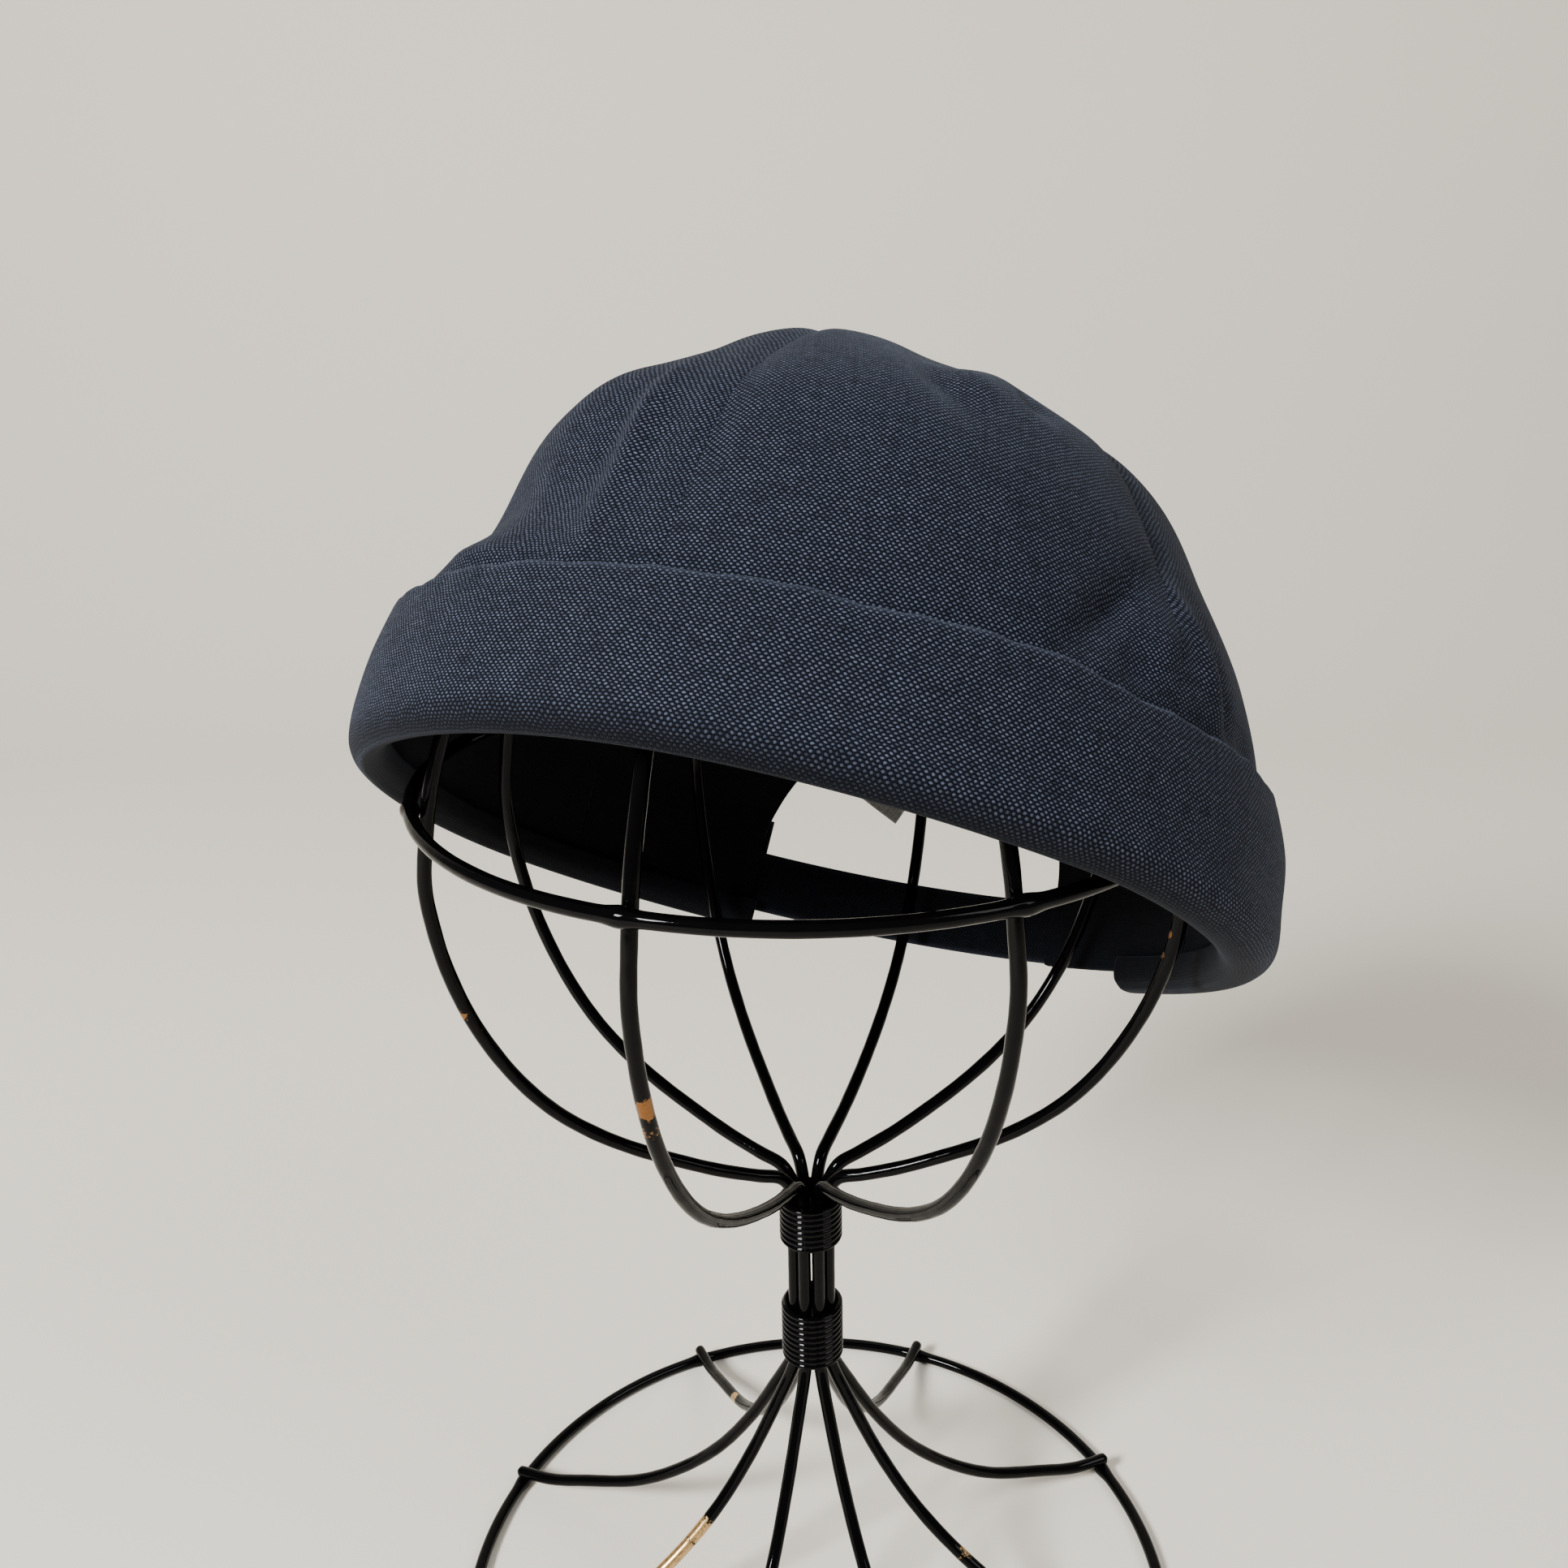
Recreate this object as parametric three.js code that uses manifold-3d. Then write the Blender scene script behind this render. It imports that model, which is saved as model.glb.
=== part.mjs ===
import * as THREE from 'three';
import { mergeVertices } from 'three/addons/utils/BufferGeometryUtils.js';
import Module from 'manifold-3d';

// A rolled-cuff cloth cap resting, tipped back, on a bent-wire hat stand.
// Millimetres, +Z up, the viewer in front looks along +Y.

const SEAM_GAP = 0.3;          // air left between pieces that touch

// --- stand ---
const WIRE = 3.2;              // diameter of the bent wires and both rings
const WIRE_COUNT = 8;
const BASE_RING_RADIUS = 92.4;
const STEM_FOOT_Z = 76;        // where the legs gather into the stem
const STEM_HEAD_Z = 123;       // where the stem opens into the cage
const CAGE_ROOM = 8.1;         // from the cap's opening in to the widest centreline of the cage
const CAGE_RING_Z = 232.5;
const TOP_DISC_RADIUS = 13;
const TOP_DISC_HEIGHT = 3.4;
const COLLAR_WALL = 1.3;       // thin wire wound round the stem
const UPPER_COLLAR_HEIGHT = 12.3;
const LOWER_COLLAR_HEIGHT = 16;
const COLLAR_TURN = 3.4;       // height of one visible bead of winding

// --- cap ---
const OPENING_RADIUS = 91.6;   // inside of the rolled edge, a head of about 575 mm
const CLOTH = 1.6;             // wall of one crown panel
const CUFF_CLOTH = 2.4;        // doubled cloth of the turned-up cuff
const CUFF_HEIGHT = 32;
const CUFF_INNER_LEG = 8;      // height of the turned-in edge
const CROWN_SPRING = 34;       // height at which the crown wall starts to close in
const HEM_RISE = 4.6;          // lower edge of the crown wall above the roll's foot
const PANEL_COUNT = 6;
const PANEL_FULLNESS = 0.006;  // swell of a panel between its seams, share of the wall radius
const SEAM_DIP = 0.009;        // hollow along a seam, share of the wall radius
const SEAM_DIP_SPAN = 2.6;     // degrees each side of a seam
const FOLD_FADE = 3.5;         // degrees of climb over which folds die out at the cuff
const BACK_HALF_ANGLE = 27.3;  // degrees, half width of the half-moon opening
const BACK_OPENING_TOP = 67;   // height of its arch above the rolled edge
const CUFF_LEFT_END = 154;     // degrees from the front, viewer's left
const CUFF_RIGHT_END = 136.5;  // degrees from the front, viewer's right
const STRAP_CLOTH = 1.4;
const STRAP_FOOT = 5.5;        // lower edge of the strap, clear of the roll
const STRAP_TOP = 22.3;
const STRAP_LAP = 5;           // degrees that each end runs past the opening
const LABEL_WIDTH = 20;
const LABEL_LENGTH = 36;
const LABEL_CLOTH = 1;
const LABEL_LAP = 7;           // length sewn to the inside above the arch
const LABEL_TWIST = -33;       // degrees it hangs out of plumb
const LABEL_BEARING = 178;     // degrees from the front

// Where the cap sits on the stand.
const CAP_SEAT = { x: -3.7, y: -7.5, z: 207.2 };
const CAP_TIP = { back: 30.5, side: 16, turn: -26.5 };

// Rib and leg bearings in degrees from the front, positive to the viewer's right.
const WIRE_BEARINGS = [
  { rib: -21.9, leg: -21.5 },
  { rib: 26.5, leg: 23.5 },
  { rib: 75.5, leg: 68.5 },
  { rib: 113.9, leg: 113.5 },
  { rib: 156.3, leg: 158.5 },
  { rib: 201.1, leg: 203.5 },
  { rib: 243.5, leg: 248.5 },
  { rib: 285.6, leg: 293.5 },
];

// Cage wire: out is a share of the cage's widest radius, up a share from stem head to cage top.
const RIB_PROFILE = [
  { out: 0.06, up: 0.014 },
  { out: 0.092, up: 0.033 },
  { out: 0.16, up: 0.043 },
  { out: 0.27, up: 0.058 },
  { out: 0.385, up: 0.079 },
  { out: 0.5, up: 0.104 },
  { out: 0.61, up: 0.134 },
  { out: 0.72, up: 0.174 },
  { out: 0.82, up: 0.228 },
  { out: 0.91, up: 0.3 },
  { out: 0.965, up: 0.37 },
  { out: 0.99, up: 0.425 },
  { out: 1.0, up: 0.475 },
  { out: 0.985, up: 0.53 },
  { out: 0.96, up: 0.588 },
  { out: 0.915, up: 0.65 },
  { out: 0.845, up: 0.725 },
  { out: 0.735, up: 0.8 },
  { out: 0.585, up: 0.875 },
  { out: 0.41, up: 0.935 },
  { out: 0.24, up: 0.978 },
  { out: 0.095, up: 1.0 },
];

// Leg wire: out is a share of the base ring radius, up a share of the stem foot height.
const LEG_PROFILE = [
  { out: 0.062, up: 0.95 },
  { out: 0.108, up: 0.84 },
  { out: 0.19, up: 0.66 },
  { out: 0.3, up: 0.475 },
  { out: 0.43, up: 0.325 },
  { out: 0.58, up: 0.205 },
  { out: 0.77, up: 0.122 },
];

// Crown sections: reach of the outside from a centre at the cuff's top, as shares of the
// crown wall radius, at the climbs given in CLIMBS; bearing in degrees from the front seam.
const CLIMBS = { brim: 0, low: 13, waist: 26, middle: 39, shoulder: 52, upper: 65, crest: 78, apex: 90 };
const CROWN_ENDS = { brim: 1, apex: 0.861 };
const CROWN_SECTIONS = [
  { bearing: 0, low: 0.991, waist: 0.995, middle: 0.969, shoulder: 0.955, upper: 0.916, crest: 0.885 },
  { bearing: 30, low: 0.996, waist: 0.985, middle: 0.963, shoulder: 0.918, upper: 0.901, crest: 0.882 },
  { bearing: 60, low: 0.976, waist: 0.952, middle: 0.944, shoulder: 0.909, upper: 0.894, crest: 0.878 },
  { bearing: 90, low: 0.956, waist: 0.919, middle: 0.926, shoulder: 0.914, upper: 0.895, crest: 0.878 },
  { bearing: 120, low: 0.961, waist: 0.933, middle: 0.917, shoulder: 0.905, upper: 0.891, crest: 0.877 },
  { bearing: 150, low: 0.968, waist: 0.941, middle: 0.918, shoulder: 0.901, upper: 0.887, crest: 0.874 },
  { bearing: 180, low: 0.972, waist: 0.943, middle: 0.918, shoulder: 0.898, upper: 0.883, crest: 0.871 },
  { bearing: 210, low: 0.968, waist: 0.939, middle: 0.913, shoulder: 0.893, upper: 0.879, crest: 0.869 },
  { bearing: 240, low: 0.961, waist: 0.926, middle: 0.902, shoulder: 0.887, upper: 0.878, crest: 0.869 },
  { bearing: 270, low: 0.943, waist: 0.907, middle: 0.894, shoulder: 0.888, upper: 0.882, crest: 0.872 },
  { bearing: 300, low: 0.91, waist: 0.895, middle: 0.905, shoulder: 0.902, upper: 0.891, crest: 0.878 },
  { bearing: 330, low: 0.927, waist: 0.964, middle: 0.941, shoulder: 0.919, upper: 0.904, crest: 0.883 },
];

// Soft dents (positive) and swells (negative) of the crown. bearing, climb, span across and
// reach along in degrees, turn slants the long way, depth as a share of the crown wall radius.
const CROWN_FOLDS = [
  { bearing: -41, climb: 11, span: 9, reach: 5, turn: 0, depth: 0.013 },
  { bearing: -30, climb: 4, span: 9, reach: 3, turn: 0, depth: -0.01 },
  { bearing: -24, climb: 24, span: 6, reach: 16, turn: 0, depth: -0.01 },
  { bearing: -19, climb: 41, span: 7, reach: 8, turn: 0, depth: 0.014 },
  { bearing: -17, climb: 17, span: 5, reach: 15, turn: 0, depth: 0.01 },
  { bearing: -10.5, climb: 17, span: 3.5, reach: 15, turn: 0, depth: -0.01 },
  { bearing: 26, climb: 48, span: 7, reach: 9, turn: 0, depth: 0.016 },
  { bearing: 35, climb: 44, span: 7, reach: 8, turn: 0, depth: -0.013 },
  { bearing: 27.5, climb: 33.5, span: 4, reach: 7, turn: 29, depth: 0.007 },
  { bearing: 47, climb: 12, span: 9, reach: 7, turn: 0, depth: 0.012 },
  { bearing: 50, climb: 9, span: 3.5, reach: 11, turn: -41, depth: 0.014 },
  { bearing: 62, climb: 8, span: 8, reach: 6, turn: 0, depth: -0.008 },
  { bearing: 65, climb: 7, span: 4, reach: 8, turn: 29, depth: -0.007 },
];

// How far the cuff stands out at its lip, belly and roll, as shares of the opening radius, and
// how far its roll lifts, as a share of the cuff height.
const CUFF_SWELL = [
  { bearing: -CUFF_LEFT_END, lip: 0.0, belly: 0.0, roll: 0.0, lift: 0.0 },
  { bearing: -110, lip: 0.0, belly: 0.004, roll: 0.0, lift: 0.0 },
  { bearing: -60, lip: 0.006, belly: 0.006, roll: 0.0, lift: 0.05 },
  { bearing: 0, lip: 0.0, belly: 0.0, roll: 0.0, lift: 0.116 },
  { bearing: 50, lip: 0.0, belly: 0.01, roll: 0.012, lift: 0.075 },
  { bearing: 90, lip: 0.012, belly: 0.035, roll: 0.04, lift: 0.0 },
  { bearing: CUFF_RIGHT_END, lip: 0.012, belly: 0.045, roll: 0.05, lift: 0.0 },
];

const rad = THREE.MathUtils.degToRad;
const wallRadius = OPENING_RADIUS + CUFF_CLOTH * 0.6 + SEAM_GAP + CLOTH;

function direction(bearing) {
  return new THREE.Vector3(Math.sin(rad(bearing)), -Math.cos(rad(bearing)), 0);
}

function smoothstep(x) {
  const t = THREE.MathUtils.clamp(x, 0, 1);
  return t * t * (3 - 2 * t);
}

function bell(x, width) {
  return Math.exp(-(x * x) / (width * width));
}

function wrapAngle(degrees) {
  return THREE.MathUtils.euclideanModulo(degrees + 180, 360) - 180;
}

// ---------- cuff swell ----------

function swellAt(bearing) {
  const last = CUFF_SWELL.length - 1;
  const at = CUFF_SWELL.findLastIndex((row) => row.bearing <= bearing);
  const k = THREE.MathUtils.clamp(at, 0, last - 1);
  const from = CUFF_SWELL[k];
  const to = CUFF_SWELL[k + 1];
  const t = smoothstep((bearing - from.bearing) / (to.bearing - from.bearing));
  const mix = (name, size) => THREE.MathUtils.lerp(from[name], to[name], t) * size;
  return {
    lip: mix('lip', OPENING_RADIUS),
    belly: mix('belly', OPENING_RADIUS),
    roll: mix('roll', OPENING_RADIUS),
    lift: mix('lift', CUFF_HEIGHT),
  };
}

// ---------- crown surface ----------

function blend(t, before, from, to, after) {
  const a = 2 * from;
  const b = (to - before) * t;
  const c = (2 * before - 5 * from + 4 * to - after) * t * t;
  const d = (3 * from - before - 3 * to + after) * t * t * t;
  return (a + b + c + d) / 2;
}

const climbNames = Object.keys(CLIMBS);

function sectionReach(row, climb) {
  const at = climbNames.findLastIndex((name) => CLIMBS[name] <= climb);
  const k = Math.min(at, climbNames.length - 2);
  const low = CLIMBS[climbNames[k]];
  const t = (climb - low) / (CLIMBS[climbNames[k + 1]] - low);
  const pick = (i) => {
    const name = climbNames[THREE.MathUtils.clamp(i, 0, climbNames.length - 1)];
    return CROWN_ENDS[name] ?? row[name];
  };
  return blend(t, pick(k - 1), pick(k), pick(k + 1), pick(k + 2));
}

function crownReach(bearing, climb) {
  const step = 360 / CROWN_SECTIONS.length;
  const at = THREE.MathUtils.euclideanModulo(bearing, 360) / step;
  const k = Math.floor(at);
  const row = (i) => CROWN_SECTIONS[THREE.MathUtils.euclideanModulo(i, CROWN_SECTIONS.length)];
  const reaches = [k - 1, k, k + 1, k + 2].map((i) => sectionReach(row(i), climb));
  const fromSeam = Math.abs(wrapAngle(bearing * PANEL_COUNT)) / PANEL_COUNT;
  const rise = smoothstep(climb / 16) * smoothstep((90 - climb) / 25);
  const fullness = PANEL_FULLNESS * Math.sin((Math.PI * fromSeam * PANEL_COUNT) / 360);
  let share = blend(at - k, ...reaches) + rise * (fullness - SEAM_DIP * bell(fromSeam, SEAM_DIP_SPAN));
  for (const fold of CROWN_FOLDS) {
    const place = new THREE.Vector2(wrapAngle(bearing - fold.bearing), climb - fold.climb);
    place.rotateAround(new THREE.Vector2(), -rad(fold.turn));
    const shape = bell(place.x, fold.span) * bell(place.y, fold.reach);
    share -= smoothstep(climb / FOLD_FADE) * fold.depth * shape;
  }
  return share * wallRadius;
}

// Outside of the crown; rise below 0 goes down the upright wall, above 0 it is the climb in degrees.
function crownSkin(bearing, rise) {
  if (rise < 0) return direction(bearing).multiplyScalar(wallRadius).setZ(CROWN_SPRING + rise);
  const reach = crownReach(bearing, rise);
  const out = reach * Math.cos(rad(rise));
  return direction(bearing).multiplyScalar(out).setZ(CROWN_SPRING + reach * Math.sin(rad(rise)));
}

function crownPoint(bearing, rise, inset = 0) {
  const point = crownSkin(bearing, rise);
  if (rise <= 0) return direction(bearing).multiplyScalar(wallRadius - inset).setZ(point.z);
  const high = Math.min(rise, 88);
  const aside = crownSkin(bearing + 1, high).sub(crownSkin(bearing - 1, high));
  const along = crownSkin(bearing, high + 0.5).sub(crownSkin(bearing, Math.max(high - 0.5, 0)));
  const normal = aside.cross(along).normalize();
  return point.addScaledVector(normal, -inset);
}

// ---------- solids ----------

function closed(geometry) {
  geometry.deleteAttribute('normal');
  geometry.deleteAttribute('uv');
  const merged = mergeVertices(geometry, 1e-4);
  merged.computeVertexNormals();
  return merged;
}

// A box of unit cells whose corners are carried to place(across, along, depth), each 0 to 1.
function wrappedSheet(cellsAcross, cellsAlong, place) {
  const box = new THREE.BoxGeometry(1, 1, 1, cellsAcross, cellsAlong, 1);
  const position = box.attributes.position;
  for (let i = 0; i < position.count; i++) {
    const target = place(position.getX(i) + 0.5, position.getY(i) + 0.5, position.getZ(i) + 0.5);
    position.setXYZ(i, target.x, target.y, target.z);
  }
  return closed(box);
}

function section(sides, diameter) {
  const shape = new THREE.Shape();
  const reach = diameter / 2;
  for (let i = 0; i < sides; i++) {
    const a = (i / sides) * 2 * Math.PI;
    if (i === 0) shape.moveTo(reach * Math.cos(a), reach * Math.sin(a));
    else shape.lineTo(reach * Math.cos(a), reach * Math.sin(a));
  }
  shape.closePath();
  return shape;
}

function ringGeometry(radius, height, sides, segments) {
  const outline = [];
  const reach = WIRE / 2 / Math.cos(Math.PI / sides);
  for (let i = 0; i <= sides; i++) {
    const a = ((i + 0.5) / sides) * 2 * Math.PI;
    outline.push(new THREE.Vector2(radius + reach * Math.cos(a), height + reach * Math.sin(a)));
  }
  const ring = new THREE.LatheGeometry(outline, segments);
  ring.rotateX(Math.PI / 2);
  return closed(ring);
}

// ---------- looks ----------

const paint = () => new THREE.MeshStandardMaterial({ color: 0x0b0b0c, roughness: 0.22, metalness: 0.3 });
const cloth = () => new THREE.MeshStandardMaterial({ color: 0x2c3548, roughness: 0.95, metalness: 0 });
const labelCloth = () => new THREE.MeshStandardMaterial({ color: 0xa9a8a3, roughness: 0.9, metalness: 0 });

const hatAndStand = new THREE.Group();
const stand = new THREE.Group();
const cap = new THREE.Group();

function add(parent, name, geometry, material) {
  const mesh = new THREE.Mesh(geometry, material);
  mesh.name = name;
  parent.add(mesh);
  return mesh;
}

// ---------- cap ----------

cap.position.set(CAP_SEAT.x, CAP_SEAT.y, CAP_SEAT.z);
cap.rotation.set(rad(-CAP_TIP.back), rad(CAP_TIP.side), rad(CAP_TIP.turn), 'YXZ');
cap.updateMatrixWorld();

const wasm = await Module();
wasm.setup();

function solidOf(geometry) {
  const plain = closed(geometry);
  return new wasm.Manifold(new wasm.Mesh({
    numProp: 3,
    vertProperties: new Float32Array(plain.attributes.position.array),
    triVerts: new Uint32Array(plain.index.array),
  }));
}

function geometryOf(solid) {
  const mesh = solid.getMesh();
  const geometry = new THREE.BufferGeometry();
  geometry.setAttribute('position', new THREE.BufferAttribute(new Float32Array(mesh.vertProperties), 3));
  geometry.setIndex(new THREE.BufferAttribute(new Uint32Array(mesh.triVerts), 1));
  return closed(geometry);
}

const apexHole = 1.4;
const lastClimb = 90 - THREE.MathUtils.radToDeg(apexHole / (CROWN_ENDS.apex * wallRadius));
const WALL_ROWS = 2;
const DOME_ROWS = 14;
const PANEL_CELLS = 9;

function panelGeometry(index) {
  const panelAngle = 360 / PANEL_COUNT;
  const rows = WALL_ROWS + DOME_ROWS;
  return wrappedSheet(PANEL_CELLS, rows, (across, along, depth) => {
    const row = Math.round(along * rows);
    const hem = HEM_RISE + swellAt(wrapAngle((index + across) * panelAngle)).lift;
    const down = (hem - CROWN_SPRING) * (1 - row / WALL_ROWS);
    const climb = lastClimb * ((row - WALL_ROWS) / DOME_ROWS);
    const rise = row < WALL_ROWS ? down : climb;
    const skin = crownSkin(index * panelAngle, rise);
    const out = Math.max(Math.hypot(skin.x, skin.y), apexHole);
    const trim = THREE.MathUtils.radToDeg(Math.asin(SEAM_GAP / 2 / out));
    const share = THREE.MathUtils.lerp(trim, panelAngle - trim, across);
    return crownPoint(index * panelAngle + share, rise, (1 - depth) * CLOTH);
  });
}

// Half-moon cutter, straight through the back of the crown.
function backOpening() {
  const halfWidth = wallRadius * Math.sin(rad(BACK_HALF_ANGLE));
  const shape = new THREE.Shape();
  const spring = STRAP_TOP;
  shape.moveTo(-halfWidth, -CUFF_HEIGHT);
  shape.lineTo(halfWidth, -CUFF_HEIGHT);
  shape.lineTo(halfWidth, spring);
  shape.absellipse(0, spring, halfWidth, BACK_OPENING_TOP - spring, 0, Math.PI, false);
  shape.closePath();
  const straight = { depth: wallRadius, bevelEnabled: false, curveSegments: 14 };
  const cutter = new THREE.ExtrudeGeometry(shape, straight);
  cutter.rotateX(Math.PI / 2);
  cutter.translate(0, wallRadius * 1.4, 0);
  return cutter;
}

const cutter = solidOf(backOpening());
for (let i = 0; i < PANEL_COUNT; i++) {
  const middle = Math.abs(wrapAngle((i + 0.5) * (360 / PANEL_COUNT)));
  let geometry = panelGeometry(i);
  if (180 - middle < BACK_HALF_ANGLE + 360 / PANEL_COUNT / 2) {
    geometry = geometryOf(solidOf(geometry).subtract(cutter));
  }
  add(cap, `crown_panel_${i + 1}`, geometry, cloth());
}

// Cuff section: down the outer leg, round the roll and up the turned-in edge.
const innerFace = OPENING_RADIUS + CUFF_CLOTH * 0.3;
const pocket = wallRadius + SEAM_GAP * 2 + STRAP_CLOTH + CUFF_CLOTH / 2;
const lip = wallRadius + SEAM_GAP + CUFF_CLOTH / 2;

function cuffCurve(bearing) {
  const swell = swellAt(bearing);
  const inner = innerFace;
  return new THREE.SplineCurve([
    { out: lip + swell.lip, up: 1.0, lift: 0 },
    { out: lip + (pocket - lip) * 0.95 + swell.belly * 0.8, up: 0.73, lift: 0 },
    { out: pocket + swell.belly, up: 0.42, lift: 0 },
    { out: pocket + swell.roll, up: 0.18, lift: 0.7 },
    { out: pocket - CUFF_CLOTH * 0.5 + swell.roll * 0.8, up: 0.075, lift: 1 },
    { out: (pocket + inner) / 2 + swell.roll * 0.4, up: 0.0375, lift: 1 },
    { out: inner + CUFF_CLOTH * 0.5, up: 0.06, lift: 1 },
    { out: inner, up: 0.13, lift: 1 },
    { out: inner, up: CUFF_INNER_LEG / CUFF_HEIGHT, lift: 1 },
  ].map((row) => new THREE.Vector2(row.out, row.up * CUFF_HEIGHT + row.lift * swell.lift)));
}

const CUFF_CELLS = 45;
const cuffSections = [];
for (let i = 0; i <= CUFF_CELLS; i++) {
  cuffSections.push(cuffCurve(THREE.MathUtils.lerp(-CUFF_LEFT_END, CUFF_RIGHT_END, i / CUFF_CELLS)));
}

const cuffGeometry = wrappedSheet(CUFF_CELLS, 10, (across, along, depth) => {
  const bearing = THREE.MathUtils.lerp(-CUFF_LEFT_END, CUFF_RIGHT_END, across);
  const curve = cuffSections[Math.round(across * CUFF_CELLS)];
  const at = curve.getPointAt(1 - along);
  const tangent = curve.getTangentAt(1 - along);
  const thick = CUFF_CLOTH * (at.x < wallRadius - CLOTH / 2 ? 0.6 : 1);
  const shift = thick * (depth - 0.5);
  const out = at.x - tangent.y * shift;
  const up = at.y + tangent.x * shift;
  return direction(bearing).multiplyScalar(out).setZ(up);
});
add(cap, 'cuff', cuffGeometry, cloth());

// Back strap, lapped on the outside of the crown wall under the half-moon opening.
const strapReach = BACK_HALF_ANGLE + STRAP_LAP;
const strapGeometry = wrappedSheet(14, 2, (across, along, depth) => {
  const bearing = 180 + THREE.MathUtils.lerp(-strapReach, strapReach, across);
  const out = wallRadius + SEAM_GAP + STRAP_CLOTH * depth;
  return direction(bearing).multiplyScalar(out).setZ(THREE.MathUtils.lerp(STRAP_FOOT, STRAP_TOP, along));
});
add(cap, 'back_strap', strapGeometry, cloth());

// Blank cloth label, sewn to the inside above the arch and hanging into the opening.
const labelGeometry = wrappedSheet(4, 6, (across, along, depth) => {
  const side = (across - 0.5) * LABEL_WIDTH;
  const drop = (along - 1) * LABEL_LENGTH;
  const twist = rad(LABEL_TWIST);
  const aside = side * Math.cos(twist) + drop * Math.sin(twist);
  const height = BACK_OPENING_TOP + LABEL_LAP + drop * Math.cos(twist) - side * Math.sin(twist);
  const bearing = LABEL_BEARING + THREE.MathUtils.radToDeg(aside / wallRadius);
  const start = Math.asin((height - CROWN_SPRING) / wallRadius);
  const climb = Math.asin((height - CROWN_SPRING) / crownReach(bearing, THREE.MathUtils.radToDeg(start)));
  const inset = CLOTH + SEAM_GAP * 2 + (1 - depth) * LABEL_CLOTH;
  return crownPoint(bearing, THREE.MathUtils.radToDeg(climb), inset);
});
add(cap, 'inner_label', labelGeometry, labelCloth());

// ---------- stand ----------

const wireReach = WIRE / 2;
const cageRadius = OPENING_RADIUS - CAGE_ROOM;
const stemRadius = (WIRE + SEAM_GAP) / 2 / Math.sin(Math.PI / WIRE_COUNT);

// Domed top of the disc: out is a share of its radius, drop a share of its height.
const DISC_DOME = [
  { out: 0.0, drop: 0.0 },
  { out: 0.45, drop: 0.06 },
  { out: 0.8, drop: 0.26 },
  { out: 1.0, drop: 0.6 },
];

function discDrop(radius) {
  const share = radius / TOP_DISC_RADIUS;
  const at = DISC_DOME.findLastIndex((row) => row.out <= share);
  const k = THREE.MathUtils.clamp(at, 0, DISC_DOME.length - 2);
  const t = (share - DISC_DOME[k].out) / (DISC_DOME[k + 1].out - DISC_DOME[k].out);
  return THREE.MathUtils.lerp(DISC_DOME[k].drop, DISC_DOME[k + 1].drop, t) * TOP_DISC_HEIGHT;
}

// The cap rests on the top disc, so the cage is as tall as the crown's inside allows.
let crownRest = Infinity;
for (let bearing = -90; bearing < 90; bearing += 1) {
  for (let climb = 30; climb <= 88; climb += 0.4) {
    const probe = crownPoint(bearing, climb, CLOTH).applyMatrix4(cap.matrixWorld);
    const radius = Math.hypot(probe.x, probe.y);
    if (radius <= TOP_DISC_RADIUS) crownRest = Math.min(crownRest, probe.z + discDrop(radius));
  }
}
const discTop = crownRest - SEAM_GAP;
const cageTop = discTop - TOP_DISC_HEIGHT - SEAM_GAP - wireReach;
const footZ = WIRE + SEAM_GAP + wireReach;

function wirePoints(rib, leg, slot) {
  const points = [];
  for (const row of [...RIB_PROFILE].reverse()) {
    const out = row.out * cageRadius;
    const bearing = THREE.MathUtils.lerp(slot, rib, smoothstep((out - stemRadius) / (cageRadius * 0.3)));
    const height = THREE.MathUtils.lerp(STEM_HEAD_Z, cageTop, row.up);
    points.push(direction(row.up > 0.5 ? rib : bearing).multiplyScalar(out).setZ(height));
  }
  points.push(direction(slot).multiplyScalar(stemRadius).setZ(STEM_HEAD_Z + 0.5));
  points.push(direction(slot).multiplyScalar(stemRadius).setZ(STEM_HEAD_Z - 4));
  points.push(direction(slot).multiplyScalar(stemRadius).setZ((STEM_HEAD_Z + STEM_FOOT_Z) / 2));
  points.push(direction(slot).multiplyScalar(stemRadius).setZ(STEM_FOOT_Z + 4));
  points.push(direction(slot).multiplyScalar(stemRadius).setZ(STEM_FOOT_Z - 0.5));
  for (const row of LEG_PROFILE) {
    const out = row.out * BASE_RING_RADIUS;
    const swing = smoothstep((out - stemRadius) / (BASE_RING_RADIUS * 0.3));
    const bearing = THREE.MathUtils.lerp(slot, leg, swing);
    points.push(direction(bearing).multiplyScalar(out).setZ(Math.max(row.up * STEM_FOOT_Z, footZ)));
  }
  points.push(direction(leg).multiplyScalar(BASE_RING_RADIUS * 0.9).setZ(footZ + 0.6));
  points.push(direction(leg).multiplyScalar(BASE_RING_RADIUS + wireReach).setZ(footZ));
  return points;
}

const wirePaths = WIRE_BEARINGS.map((row, i) => {
  const slot = ((i - 0.5) * 360) / WIRE_COUNT;
  return new THREE.CatmullRomCurve3(wirePoints(row.rib, row.leg, slot), false, 'centripetal');
});
wirePaths.forEach((path, i) => {
  const along = { steps: 36, extrudePath: path, bevelEnabled: false };
  const geometry = new THREE.ExtrudeGeometry(section(6, WIRE), along);
  add(stand, `stand_wire_${i + 1}`, closed(geometry), paint());
});

// The cage ring lies against the outside of the wires at its own height.
const ribOut = wirePaths[0].getPoints(600)
  .filter((point) => Math.abs(point.z - CAGE_RING_Z) < wireReach)
  .reduce((most, point) => Math.max(most, Math.hypot(point.x, point.y)), 0);
add(stand, 'cage_ring', ringGeometry(ribOut + WIRE + SEAM_GAP, CAGE_RING_Z, 6, 40), paint());
add(stand, 'base_ring', ringGeometry(BASE_RING_RADIUS, wireReach, 8, 40), paint());

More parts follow.
